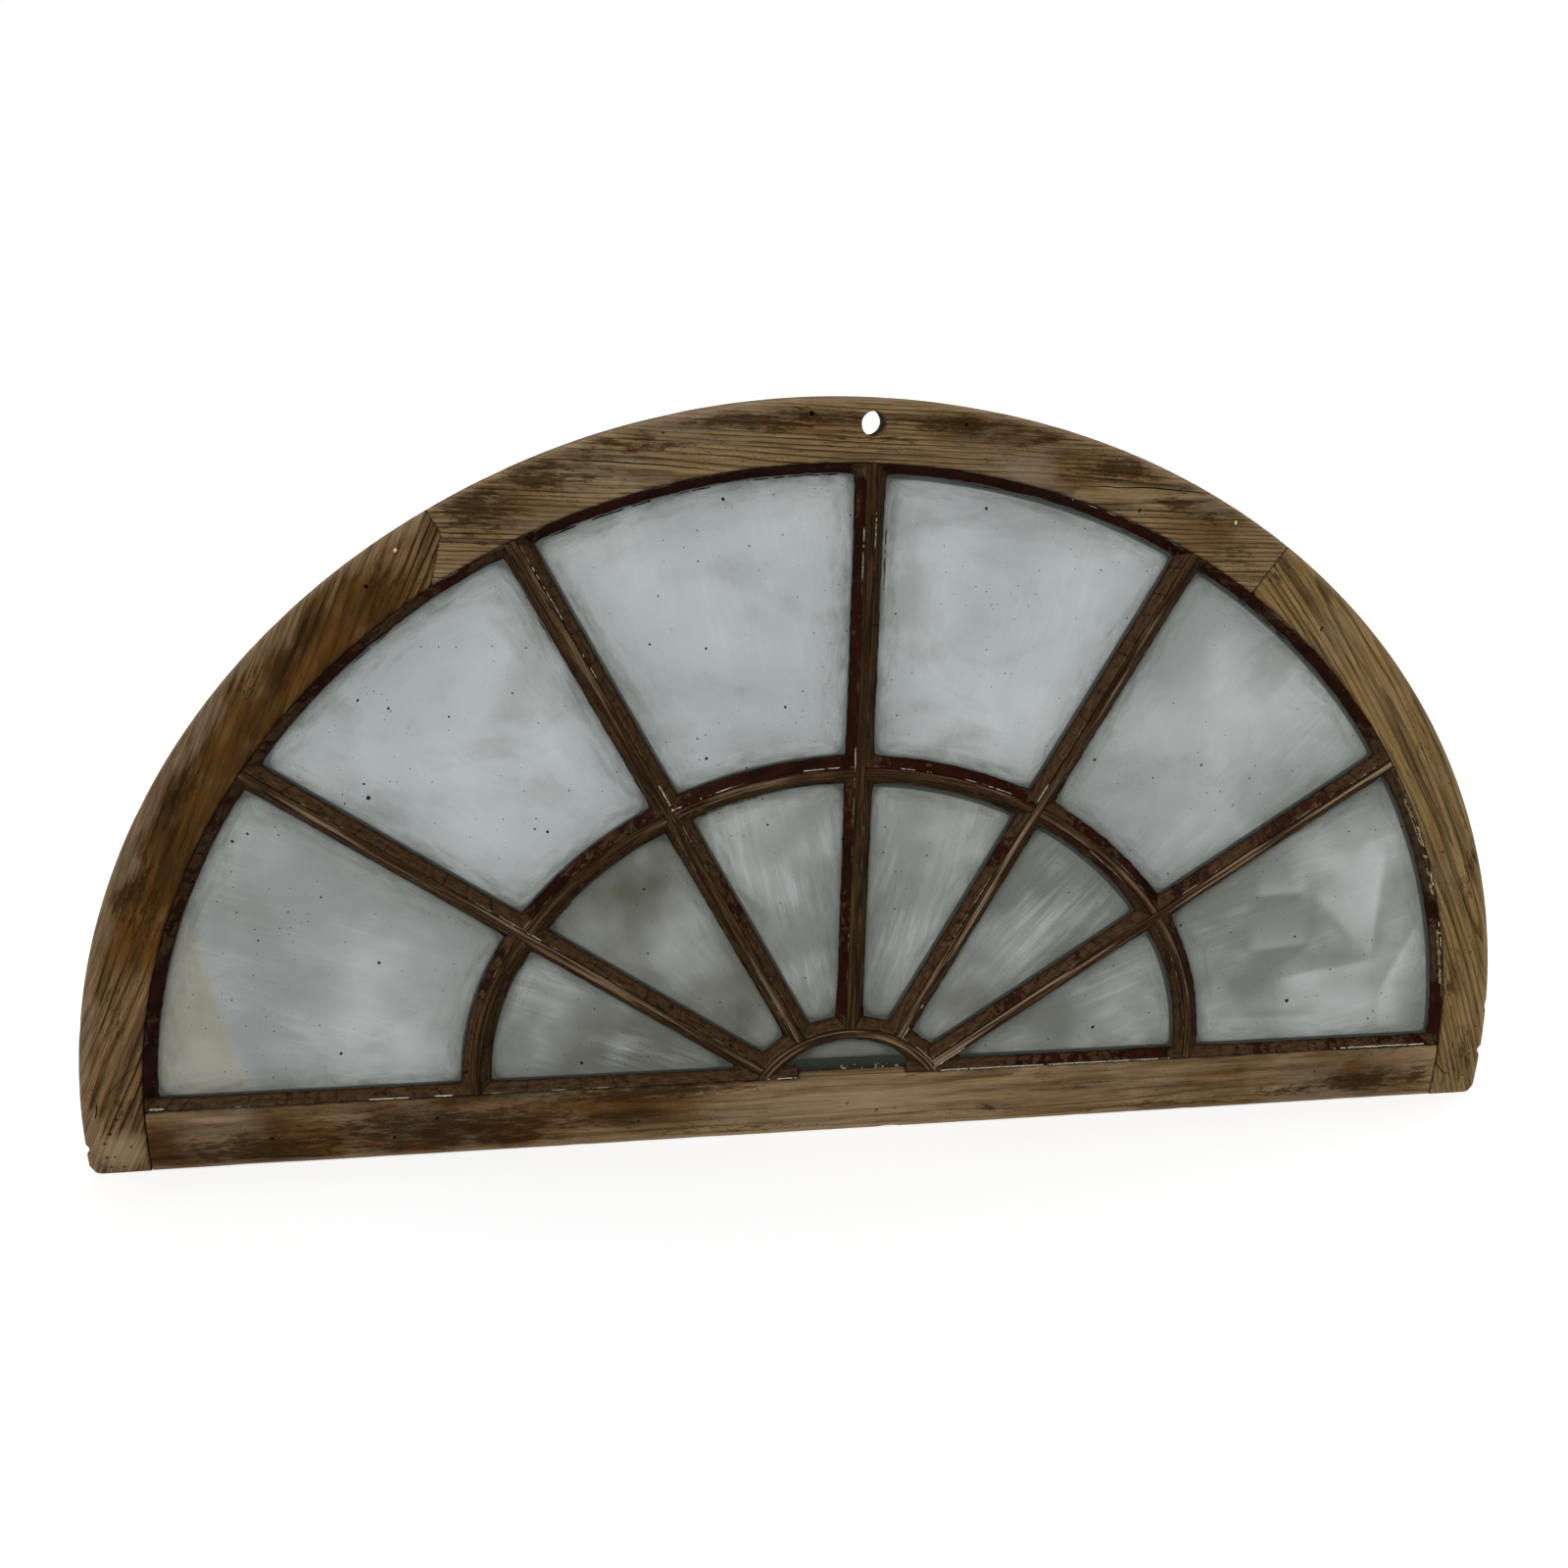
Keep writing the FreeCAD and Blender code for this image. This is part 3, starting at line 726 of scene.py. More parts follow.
def lines_meet(first, second):
    """Where two lines cross."""
    run = np.linalg.solve(np.stack([first[1], -second[1]], 1), second[0] - first[0])[0]
    return first[0] + run * first[1]


def ring_circle(row, side, inset):
    """The line beside the ring at a row of panes, outside it (side 1) or inside it (side -1)."""
    centre, radius = (FAN_CENTRE, RING_RADIUS) if row else (FOOT_CENTRE, FOOT_RADIUS)
    return centre, radius + side * (HALF_NOSING + inset)


def opening_sides(row, band, inset):
    """The four sides of an opening in order: each a start, an end and a circle, or None if straight."""
    low = spoke_line(row - 1, 1, inset) if row else rail_line(inset)
    high = spoke_line(row, -1, inset)
    if band == "outer":
        outside = FAN_CENTRE, ARCH_INNER - inset
        inside = ring_circle(row, 1, inset)
    else:
        outside = ring_circle(row, -1, inset)
        reach = HUB_RADIUS + HALF_NOSING + inset
        if row == 0:
            reach = max(reach, np.hypot(*lines_meet(low, high)) + PUTTY_NIB)
        inside = FAN_CENTRE, reach
    meetings = ((low, inside), (low, outside), (high, outside), (high, inside))
    corners = [line_meets_circle(line, circle) for line, circle in meetings]
    return list(zip(corners, corners[1:] + corners[:1], (None, outside, None, inside)))


def hub_sides(inset):
    """The sides of the half-round opening, with its rail side parted where the putty is lost."""
    circle = FAN_CENTRE, HUB_RADIUS - HALF_NOSING - inset
    right = line_meets_circle(rail_line(inset), circle)
    left = right * (-1, 1)
    lost = [np.array([end, RISE + inset]) for end in LOST_PUTTY]
    return [(lost[1], right, None), (right, left, circle), (left, lost[0], None)]


def side_points(side, shares):
    """Points along one side of an opening."""
    start, end, circle = side
    shares = np.asarray(shares)[:, None]
    if circle is None:
        return start + (end - start) * shares
    centre, radius = circle
    first, last = (math.atan2(*(corner - centre)[::-1]) for corner in (start, end))
    turn = first + (last - first) * shares
    return centre + radius * np.concatenate([np.cos(turn), np.sin(turn)], 1)


def beside(points, side):
    """How far points lie along a side of an opening, and how far to one side of it."""
    start, end, circle = side
    if circle is None:
        along = unit(end - start)
        return (points - start) @ along, (points - start) @ turned(along)
    centre, radius = circle
    across, up = (points - centre).T
    return radius * np.arctan2(up, across), radius - np.hypot(across, up)


def insets_of(points, sides):
    """How far points lie inside each side of an opening whose sides are given at no inset."""
    middle = np.mean([side_points(side, [0.5]) for side in sides], 0)
    return np.array([beside(points, side)[1] * np.sign(beside(middle, side)[1]) for side in sides])


# Frame: three felloes and a rail

def left_seam(radius):
    """Angle of the hooked left joint in the arch at each radius."""
    hook_radius = ARCH_RADIUS - HOOK_DEPTH
    hook = hook_radius * np.array([math.cos(LEFT_SEAM), math.sin(LEFT_SEAM)])
    lean = np.array([-math.sin(HOOK_LEAN), -math.cos(HOOK_LEAN)])
    behind = hook @ lean
    run = -behind - np.sqrt(behind ** 2 - np.maximum(hook_radius ** 2 - radius ** 2, 0))
    hooked = np.arctan2(hook[1] + run * lean[1], hook[0] + run * lean[0])
    return np.where(radius >= hook_radius, LEFT_SEAM, hooked)


def foot_angle(radius, depth):
    """Angle at which the arch ends on the ground, with its outer corner rounded off."""
    short = np.clip(ARRIS - np.minimum(depth - FRONT, BACK - depth), 0, ARRIS)
    outside = ARCH_RADIUS - ARRIS + np.sqrt(ARRIS ** 2 - short ** 2)
    past = np.clip(radius - (outside - FOOT_ROUND), 0, FOOT_ROUND)
    lift = FOOT_ROUND - np.sqrt(FOOT_ROUND ** 2 - past ** 2)
    return np.arcsin((lift - CENTRE_HEIGHT) / radius)


FELLOES = {
    "right_felloe": lambda r, depth: (foot_angle(r, depth), RIGHT_SEAM - SEAM_GAP / r),
    "crown_felloe": lambda r, depth: (RIGHT_SEAM + SEAM_GAP / r, left_seam(r) - SEAM_GAP / r),
    "left_felloe": lambda r, depth: (left_seam(r) + SEAM_GAP / r, np.pi - foot_angle(r, depth)),
}

# How far apart the sections along the boards are, and how deep the weather has sunk the wood
ARCH_STEP = 2.0
RAIL_STEP = 2.4
BOARD_WEATHER = 0.35

# The right board's grain bends about a far centre; the others run straight
BEND_CENTRE = (-689, -461)
BEND_RADIUS = 1350
GRAINS = {
    "right_felloe": bent_grain(BEND_CENTRE, BEND_RADIUS),
    "crown_felloe": board_grain(math.radians(-0.8)),
    "left_felloe": board_grain(math.radians(65)),
    "bottom_rail": board_grain(0.0),
}

# Worm holes on the front face: x, z and width
WORM_HOLES = {
    "left_felloe": [
        (-590, 37, 2.6), (-595, 28, 2.2), (-576, 24, 1.8), (-583, 50, 2.0), (-595, 15, 2.4), (-589, 15, 1.7),
        (-593, 6, 2.0), (-584, 5.5, 1.8), (-358, 478, 2.6),
    ],
    "right_felloe": [
        (577, 23, 2.6), (595, 19.5, 2.0), (598, 43, 2.3), (597, 73, 1.8), (525, 253.5, 2.4), (374, 454, 3.4),
        (590, 15, 1.6),
    ],
    "crown_felloe": [(-45, 607, 3.0), (208, 544.5, 2.4), (68, 603, 2.2), (-150, 590, 1.5)],
    "bottom_rail": [
        (-471, 23.5, 3.2), (-179, 20.5, 2.6), (-377, 18, 3.0), (-342, 34.5, 2.6), (0, 26.5, 2.6),
        (26.5, 18, 2.6), (43, 19, 2.0), (331, 28, 1.6), (440, 33, 1.8),
    ],
}
# Splits: a route in x and z, how wide they open and how deep they go
SPLITS = {
    "left_felloe": [
        ([(-594.4, 67), (-598.6, 51)], 1.6, 5.0),
        ([(-557, 103), (-573, 88), (-590, 68)], 0.9, 3.0),
        ([(-575, 130), (-588, 104)], 0.6, 2.0),
    ],
    "right_felloe": [
        ([(559, 41), (568, 30), (579, 19)], 1.2, 6.0),
        ([(484, 294), (492, 300.5)], 1.4, 3.0),
        ([(338, 528), (323, 503)], 1.5, 10.0),
        ([(585, 140), (592, 112), (596, 90)], 0.7, 3.0),
    ],
    "crown_felloe": [
        ([(-246, 570), (-212, 569), (-181, 568.7), (-148, 567.6), (-112, 565.2)], 1.3, 6.0),
        ([(160, 561.6), (219, 561.9), (247, 559.8), (270, 558.2)], 1.3, 6.0),
        ([(-60, 582), (-10, 581), (30, 583)], 0.5, 2.0),
        ([(60, 589), (110, 588), (150, 586)], 0.5, 2.0),
        ([(-220, 552), (-170, 553), (-140, 552)], 0.5, 2.0),
    ],
    "bottom_rail": [
        ([(-212, 16.6), (-203, 17.4), (-194, 18.6)], 2.2, 3.0),
        ([(49, 51.3), (60, 51.5)], 1.8, 3.0),
        ([(-470, 12), (-420, 11), (-380, 12)], 0.7, 2.5),
        ([(120, 22), (190, 24), (260, 23)], 0.5, 2.0),
    ],
}
# Nicks: x, depth, z and size along each axis
NICKS = {
    "left_felloe": [(-610, FRONT + 2, 24, (3.0, 6, 5)), (-612, BACK, 200, (4, 6, 12))],
    "right_felloe": [(608, FRONT + 1, 46, (3.0, 6, 6)), (603.5, FRONT, 96, (2.0, 3, 9))],
    "crown_felloe": [(10, FRONT - 0.2, 582.5, (11, 1.6, 2.2)), (120, BACK, 613, (14, 4, 5))],
    "bottom_rail": [(39, FRONT, 0, (13, 2.5, 2.6)), (-300, BACK, 0, (20, 4, 3))],
}
# Blots of black stain, kept varnish and rubbed wood
STAINS = {
    "left_felloe": [
        (-500, 345, 24, 40, 0.45), (-432, 420, 30, 30, 0.3), (-540, 250, 18, 60, 0.68),
        (-345, 485, 20, 18, 0.4), (-570, 150, 10, 40, 0.4), (-578, 60, 20, 26, 0.4), (-590, 15, 20, 12, 0.4),
    ],
    "right_felloe": [
        (556, 250, 10, 60, 0.6), (545, 300, 8, 30, 0.5), (330, 500, 18, 16, 0.45), (560, 120, 14, 40, 0.45),
        (480, 360, 10, 40, 0.35), (588, 40, 20, 45, 0.5),
    ],
    "crown_felloe": [
        (-283, 535, 34, 26, 0.8), (-232, 558, 50, 18, 0.7), (-170, 582, 50, 9, 0.7), (-90, 600, 50, 8, 0.9),
        (-45, 604, 40, 7, 0.7), (60, 603, 40, 9, 0.8), (120, 596, 40, 10, 0.5), (190, 575, 45, 10, 0.8),
        (240, 552, 26, 10, 0.7), (270, 538, 18, 10, 0.5), (0, 590, 60, 8, 0.45), (290, 512, 20, 12, 0.5),
    ],
    "bottom_rail": [
        (-480, 15, 80, 20, 0.75), (-330, 26, 130, 24, 0.75), (-170, 49, 90, 8, 0.95), (-290, 9, 40, 6, 0.9),
        (-100, 8, 60, 6, 0.5), (487, 20, 42, 12, 1.0), (420, 14, 60, 6, 0.7), (545, 22, 16, 16, 0.7),
        (300, 7, 80, 6, 0.55), (129, 14, 26, 6, 0.5), (220, 34, 40, 4, 0.35),
    ],
}
VARNISHED = {
    "left_felloe": [
        (*on_fan(577, 0, math.radians(turn))[[0, 2]], 38, 38, 0.9) for turn in range(128, 162, 4)
    ],
    "right_felloe": [(575, 120, 30, 60, 0.4), (590, 45, 30, 50, 0.4)],
    "crown_felloe": [
        (-250, 540, 50, 25, 0.55), (-51, 601, 70, 12, 0.55), (78, 599, 70, 14, 0.55), (150, 570, 70, 18, 0.6),
        (270, 535, 50, 30, 0.6),
    ],
    "bottom_rail": [
        (-500, 20, 130, 45, 1.1), (-330, 26, 130, 50, 1.1), (-190, 34, 80, 30, 0.9), (200, 26, 90, 50, 0.4),
        (350, 26, 100, 50, 0.55), (480, 24, 100, 40, 0.85),
    ],
}
RUBBED = {
    "left_felloe": [(-585, 20, 26, 22, 1.0), (-600, 150, 8, 60, 0.5)],
    "right_felloe": [(585, 45, 16, 40, 0.4), (390, 450, 60, 60, 0.5)],
    "crown_felloe": [(-205, 548, 40, 10, 0.5), (260, 560, 40, 8, 0.4)],
    "bottom_rail": [(-510, 45, 32, 4, 1.0), (20, 30, 120, 24, 0.85), (330, 42, 120, 8, 0.3)],
}

arch_outline = rounded_outline(
    moulding(ARCH_INNER, -1) + [(ARCH_RADIUS, BACK), (ARCH_RADIUS, FRONT)],
    MOULDING_ROUND + [2.0, 2.4],
    MOULDING_STEPS + [4.5, 2.8, 1.9],
)
rail_outline = rounded_outline(
    moulding(RAIL_FACE, 1) + [(0, BACK), (0, FRONT)],
    MOULDING_ROUND + [1.6, 2.2],
    MOULDING_STEPS + [4.5, 3.0, 1.9],
)
bar_outline = rounded_outline(
    moulding(HALF_NOSING, 1) + moulding(-HALF_NOSING, -1)[::-1],
    MOULDING_ROUND + MOULDING_ROUND[::-1],
    MOULDING_STEPS + [2.0] + MOULDING_STEPS[::-1] + [1.1],
)

WOODS = {
    "left_felloe": wood_material(
        "left_board", srgb(136, 108, 74), srgb(94, 69, 40), srgb(28, 16, 5),
        pith=(520, 40, 0.02), ring_width=6.8, figure=1.0, waves=12.0,
    ),
    "crown_felloe": wood_material(
        "crown_board", srgb(150, 126, 90), srgb(106, 82, 53), srgb(40, 27, 15),
        pith=(-560, 30, 0.01), ring_width=3.3, figure=0.95, waves=5.0, grey=0.4,
    ),
    "right_felloe": wood_material(
        "right_board", srgb(148, 122, 80), srgb(114, 90, 52), srgb(30, 19, 6),
        pith=(-64, 59, -0.053), ring_width=4.8, figure=0.72, waves=6.0, grey=0.15, ridged=0.25,
    ),
    "bottom_rail": wood_material(
        "rail_board", srgb(152, 128, 96), srgb(124, 100, 70), srgb(66, 45, 25),
        pith=(-60, 70, 0.015), ring_width=6.0, figure=0.7, waves=8.0, grey=0.35,
    ),
    "bar": wood_material(
        "bar_wood", srgb(84, 63, 40), srgb(46, 32, 19), srgb(14, 8, 4),
        pith=(14, 20, 0.01), ring_width=3.0, figure=0.8, waves=3.0, ridged=0.9, fine=0.4,
    ),
}


def rail_ends(up, depth):
    """The rail is scribed between the arch's feet."""
    ends = np.sqrt((ARCH_INNER - lip_at(depth)) ** 2 - (up - CENTRE_HEIGHT) ** 2) - SEAM_GAP
    return -ends, ends


def along_rail(up, depth, run):
    """Place of a point of the rail's section."""
    return xyz(run, depth, up)


def finish_board(piece, label, seed):
    """Carve, weather and colour one of the four boards of the frame."""
    cutters = []
    for table, cutter in ((WORM_HOLES, drill), (SPLITS, split), (NICKS, gouge)):
        cutters += [cutter(*row, seed + number) for number, row in enumerate(table[label])]
    if label == "crown_felloe":
        cutters.append(bolt_cutter())
    weather(piece, GRAINS[label], BOARD_WEATHER, seed)
    carve(piece, cutters)
    points = places_of(piece)
    x, depth, z = points.T
    radius, angle = fan_polar(points)
    bare = 0
    if label == "bottom_rail":
        from_glass, from_edge = RAIL_FACE - z, z
        seam = np.abs(ARCH_INNER - radius)
        start, end = LOST_PUTTY
        bare = smooth_step(x, start, start + 4) * (1 - smooth_step(x, end - 4, end)) * (depth < SEAT)
    else:
        from_glass, from_edge = radius - ARCH_INNER, ARCH_RADIUS - radius
        seam = np.minimum(np.abs(angle - RIGHT_SEAM), np.abs(angle - left_seam(radius))) * radius
    # Painted shade along the inner edge beside the putty and over the moulding, and dark joints at the seams
    dirt = 0.9 * (1 - 0.8 * bare) * np.exp(-np.maximum(from_glass, 0) / 2.0) + 0.7 * np.exp(-seam / 1.2)
    from_edge = np.maximum(from_edge, 0)
    wear = 0.7 * np.exp(-from_edge / 3.5) + 0.3 * np.exp(-from_edge / 18)
    wear = np.where((depth > FRONT + 0.8) & (from_edge < 1.5), 0.55, wear)
    wear = np.maximum(wear, blots(points, RUBBED[label]))
    if label == "left_felloe":
        wear = np.maximum(wear, 0.62 * (1 - smooth_step(from_edge + 9 * noise(points, 24, seed), 3, 24)))
    paint(piece, grain=GRAINS[label](points), wear=wear, dirt=dirt)
    paint(piece, stain=blots(points, STAINS[label]), varnish=blots(points, VARNISHED[label]))
    finish_piece(piece, WOODS[label], label)


for seed, (label, limits) in enumerate(FELLOES.items()):
    board = swept(f"{label}_wood", arch_outline, limits, on_fan, ARCH_STEP, ARCH_RADIUS)
    finish_board(board, label, 20 + 40 * seed)
rail = swept("bottom_rail_wood", rail_outline, rail_ends, along_rail, RAIL_STEP)
finish_board(rail, "bottom_rail", 300)


# Bars: hub, spokes and ring

# How far apart the sections along the bars are, and how deep the weather has sunk the wood
BAR_STEP = 1.8
BAR_WEATHER = 0.22

# Bars whose nosing is still painted along one edge: 1 outwards or to the left, -1 the other way
PAINTED_NOSINGS = {"left_top_ring": 1, "right_top_ring": 1, "right_mid_ring": -1}

# Each bar is cut from another place in the plank
PLANK_STEP = np.array([173.0, 9.0, 31.0])


def finish_bar(piece, label, grain, rubbed, seed):
    """Weather and colour a glazing bar."""
    weather(piece, grain, BAR_WEATHER, seed)
    points = places_of(piece)
    fibres = grain(points)
    across = fibres[:, 1]
    from_edge = np.clip(HALF_NOSING - np.abs(across), 0, HALF_NOSING)
    front = points[:, 1] < FRONT + 1.2
    # Painted shade: dark lines along the nosing's edges, and darker sides and back
    dirt = np.where(front, 0.8 * np.exp(-from_edge / 0.7), 0.5)
    dirt = np.where(points[:, 1] > LIP, 0.28, dirt)
    wear = rubbed * (1 + 1.3 * noise(fibres, (50, 2.0, 6), seed + 9))
    wear = wear * smooth_step(from_edge, 0.2, 1.2) * front
    stain = 0.3 + 0.3 * noise(points, 60, seed + 7)
    painted = 0.9 * smooth_step(PAINTED_NOSINGS.get(label, 0) * across, 0.2, 1.8) * front
    paint(piece, grain=fibres + PLANK_STEP * (seed % 17), stain=stain, wear=wear, dirt=dirt, painted=painted)
    finish_piece(piece, WOODS["bar"], label)


def spoke_limits(angle):
    """A spoke is scribed from the hub, or the rail beside it, to the arch."""
    def limits(across, depth):
        lip = lip_at(depth)
        from_hub = np.sqrt((HUB_RADIUS + HALF_NOSING + lip) ** 2 - across ** 2)
        from_rail = (RISE + lip - across * math.cos(angle)) / math.sin(angle)
        return np.maximum(from_hub, from_rail), np.sqrt((ARCH_INNER - lip) ** 2 - across ** 2)
    return limits


def arc_limits(start, from_start, end, from_end):
    """A curved bar is scribed between two lines, each at an angle and a distance beside its centre."""
    def limits(radius, depth):
        lip = lip_at(depth)
        return start + np.arcsin((from_start + lip) / radius), end - np.arcsin((from_end + lip) / radius)
    return limits


LEFT_HIGH, LEFT_LOW = np.pi - HIGH, np.pi - LOW

# Spokes: how far the nosing is rubbed down to pale wood, and the angle
SPOKES = {
    "right_low_spoke": (0.6, LOW),
    "right_high_spoke": (0.4, HIGH),
    "centre_spoke": (0.1, MIDDLE),
    "left_high_spoke": (0.3, LEFT_HIGH),
    "left_low_spoke": (0.4, LEFT_LOW),
}
for seed, (label, (rubbed, angle)) in enumerate(SPOKES.items()):
    bar = swept(f"{label}_wood", bar_outline, spoke_limits(angle), along_spoke(angle), BAR_STEP)
    finish_bar(bar, label, board_grain(angle, CENTRE_HEIGHT), rubbed, 400 + seed)

# Curved bars: how far they are rubbed, centre, radius, and the angle and distance of the line at each end
CURVED_BARS = {
    "hub_bar": (0.4, FAN_CENTRE, HUB_RADIUS, 0, RISE, np.pi, RISE),
    "right_foot_ring": (0.3, FOOT_CENTRE, FOOT_RADIUS, 0, 0, LOW, HALF_NOSING),
    "right_mid_ring": (0.3, FAN_CENTRE, RING_RADIUS, LOW, HALF_NOSING, HIGH, HALF_NOSING),
    "right_top_ring": (0.3, FAN_CENTRE, RING_RADIUS, HIGH, HALF_NOSING, MIDDLE, HALF_NOSING),
    "left_top_ring": (0.3, FAN_CENTRE, RING_RADIUS, MIDDLE, HALF_NOSING, LEFT_HIGH, HALF_NOSING),
    "left_mid_ring": (0.3, FAN_CENTRE, RING_RADIUS, LEFT_HIGH, HALF_NOSING, LEFT_LOW, HALF_NOSING),
    "left_foot_ring": (0.2, FOOT_CENTRE * (-1, 1), FOOT_RADIUS, LEFT_LOW, HALF_NOSING, np.pi, 0),
}


def on_arc(centre):
    """A place function for a bar that is bent about a centre."""
    return lambda radius, depth, angle: on_fan(radius, depth, angle, centre)


for seed, (label, (rubbed, centre, radius, *ends)) in enumerate(CURVED_BARS.items()):
    section = bar_outline + (radius, 0)
    bar = swept(f"{label}_wood", section, arc_limits(*ends), on_arc(centre), BAR_STEP, radius)
    finish_bar(bar, label, bent_grain(centre, radius), rubbed, 420 + seed)


# Putty: a sloped bead round each opening, cracked across and chipped along its top

PUTTY_FRONT = FRONT + PUTTY_DROP
GLASS_FRONT = SEAT - GLASS
BED = GLASS_FRONT - 0.05
BEAD_STEP = 0.95
INSETS = np.linspace(0, REBATE_WIDTH, 9)
PUTTY = putty_material()

# How far apart the cracks are where the paint is lost and where it holds
CRACK_STEPS = (17.0, 60.0)
CRACK_DARK = 0.85

# The grit in each bead differs from the others
BEAD_SHIFT = 37.0

# Places where the bead is bare or has kept its paint, about the fan's centre
BARE_PUTTY = [(486, 282, 30, 45, 0.9), (505, 216, 25, 30, 0.9), (530, 136, 20, 34, 0.9)]
SOUND_PUTTY = [(515, 181, 16, 22, 0.9), (553, 80, 20, 30, 0.9)]


def bead_cracks(run, spacing, maker):
    """How open the cracks across a bead are at each station and inset."""
    opening = np.zeros((len(run), len(INSETS)))
    place = maker.uniform(2, spacing)
    while place < run[-1]:
        width = maker.uniform(0.35, 0.8)
        slant = maker.uniform(-0.35, 0.35)
        strength = maker.uniform(0.35, 1.0)
        wander = 0.5 * noise(xyz(INSETS, place, 0), 1.6, 5)
        away = (run[:, None] - place - slant * (INSETS - 3) - wander) / width
        opening = np.maximum(opening, strength * np.exp(-away ** 2))
        place += maker.uniform(0.4, 1.6) * spacing
    return opening


def bead(name, node, sides_at, hand, lost, stripped, closed, seed):
    """The putty round an opening, from the sides of the opening at each inset."""
    maker = np.random.default_rng(seed)
    lengths = [runs_along(side_points(side, np.linspace(0, 1, 9)))[-1] for side in sides_at(REBATE_WIDTH / 2)]
    counts = [max(5, int(length / BEAD_STEP)) for length in lengths]
    shares = [np.linspace(0, 1, count, endpoint=False) for count in counts]
    if not closed:
        shares[-1] = np.linspace(0, 1, counts[-1])
    rows = []
    for inset in INSETS:
        rows.append(np.concatenate([side_points(*pair) for pair in zip(sides_at(inset), shares)]))
    grid = np.stack(rows, 1)
    run = np.arange(len(grid)) * BEAD_STEP
    of_side = np.repeat(np.arange(len(counts)), counts)
    cracks = np.zeros(grid.shape[:2])
    corner = np.zeros((len(grid), 1))
    for side, share in enumerate(lost):
        mine = of_side == side
        at = run[mine] - run[mine][0]
        cracks[mine] = bead_cracks(at, CRACK_STEPS[0 if share > 0.4 else 1], maker)
        corner[mine, 0] = np.exp(-np.minimum(at, at[-1] - at) / 12)

    depth = np.linspace(PUTTY_FRONT, BED, len(INSETS))
    at = xyz(grid[..., 0] * hand, depth, grid[..., 1])
    chalk = np.array(lost)[of_side][:, None] + 0.35 * noise(at, 38, seed)
    chalk = chalk + blots(at, BARE_PUTTY) - blots(at, SOUND_PUTTY) + 0.4 * corner
    crumbs = np.clip(chalk, 0, 1) * 0.35 * rough(at, 2.6, seed + 2)
    chips = smooth_step(noise(at, 7, seed + 3), 0.35, 0.75) * np.clip(chalk, 0.15, 1)
    sunk = 0.35 + 0.35 * rough(at, 9, seed + 1) + crumbs + 1.1 * cracks + 1.3 * chips * np.exp(-INSETS / 2.0)
    sunk = sunk * np.minimum(1, 0.25 + (REBATE_WIDTH - INSETS) / 2.5)
    depth = np.minimum(depth + np.maximum(sunk, -0.3) * 0.75, BED - 0.02)
    depth[:, -1] = BED
    ragged = 0.9 * noise(at[:, -1], 6, seed + 4)[:, None] + 2.0 * corner
    grid[:, -1] += ragged * unit(grid[:, -1] - grid[:, -2])

    # Each ring of points runs down the slope and ends on the glass behind the bead's outer edge
    stations = len(grid)
    x, z = np.moveaxis(np.concatenate([grid, grid[:, :1]], 1), -1, 0)
    depth = np.concatenate([depth, np.full((stations, 1), BED)], 1)
    piece = new_piece(name, *shell(xyz(x * hand, depth, z + CENTRE_HEIGHT), closed))
    insets = np.tile(INSETS, (stations, 1))
    layers = {"chalk": chalk, "inset": insets, "crack": np.clip(cracks, 0, 1) * CRACK_DARK}
    paint(piece, **{key: np.pad(values, ((0, 0), (0, 1))).ravel() for key, values in layers.items()})
    paint(piece, run=np.repeat(run + BEAD_SHIFT * seed, x.shape[1]))
    paint(piece, stripped=np.repeat(np.array(stripped)[of_side], x.shape[1]))
    finish_piece(piece, PUTTY, node, SOFT_CREASE)


ROWS = ("low", "mid", "top")
HANDS = {"right": 1, "left": -1}

# How dark each pane is, from 0 to 1, partly its haze and partly painted shade of what lies behind the glass,
# and the paint lost on its low side, outside, high side and inside
PANES = {
    "right_low_outer": (0.74, (0.62, 0.55, 0.5, 0.35)),
    "right_mid_outer": (0.36, (0.65, 0.35, 0.25, 0.3)),
    "right_top_outer": (0.0, (0.85, 0.1, 0.25, 0.1)),
    "left_low_outer": (0.42, (0.6, 0.4, 0.45, 0.5)),
    "left_mid_outer": (0.0, (1.0, 0.5, 0.55, 0.35)),
    "left_top_outer": (0.03, (1.0, 0.1, 0.15, 0.05)),
    "right_low_inner": (0.5, (0.45, 0.4, 0.55, 0.8)),
    "right_mid_inner": (0.78, (0.75, 0.3, 0.5, 0.85)),
    "right_top_inner": (0.62, (0.6, 0.25, 0.3, 0.95)),
    "left_low_inner": (0.6, (0.65, 0.6, 0.6, 0.8)),
    "left_mid_inner": (1.0, (0.8, 0.5, 0.5, 0.85)),
    "left_top_inner": (0.57, (0.75, 0.3, 0.1, 0.95)),
}
for seed, (label, (tone, lost)) in enumerate(PANES.items()):
    side, level, band = label.split("_")

    def sides_at(inset, row=ROWS.index(level), band=band):
        """The sides of this opening at an inset."""
        return opening_sides(row, band, inset)

    hidden = 0.2 if (side, level) == ("left", "top") else 0.85
    bare = (0.1, 0.5 if band == "inner" else 0.2, hidden, 0.0)
    bead(f"{label}_bead", f"{label}_putty", sides_at, HANDS[side], lost, bare, True, 500 + seed)
bead("hub_bead", "hub_putty", hub_sides, 1, (0.5, 0.75, 0.6), (0.2, 0.5, 0.2), False, 520)


# Glass: thin wavy plates in their rebates

GLASS_COUNT = 44
FOLDED_COUNT = 110
GLASS_ROUND = 7.0
GLASS_WAVE = 0.12
GLASS_WAVE_LENGTH = 55
WARM_BLUR = 900

# Smears differ from side to side and from pane to pane
SIDE_SHIFT = 700
PANE_SHIFT = 90.0
DIRTY_GLASS = glass_material()

# Left of this line, about the fan's centre, the lowest left pane looks ochre
WARM_LINE = np.array([(-505, 186), (-486, 68)])

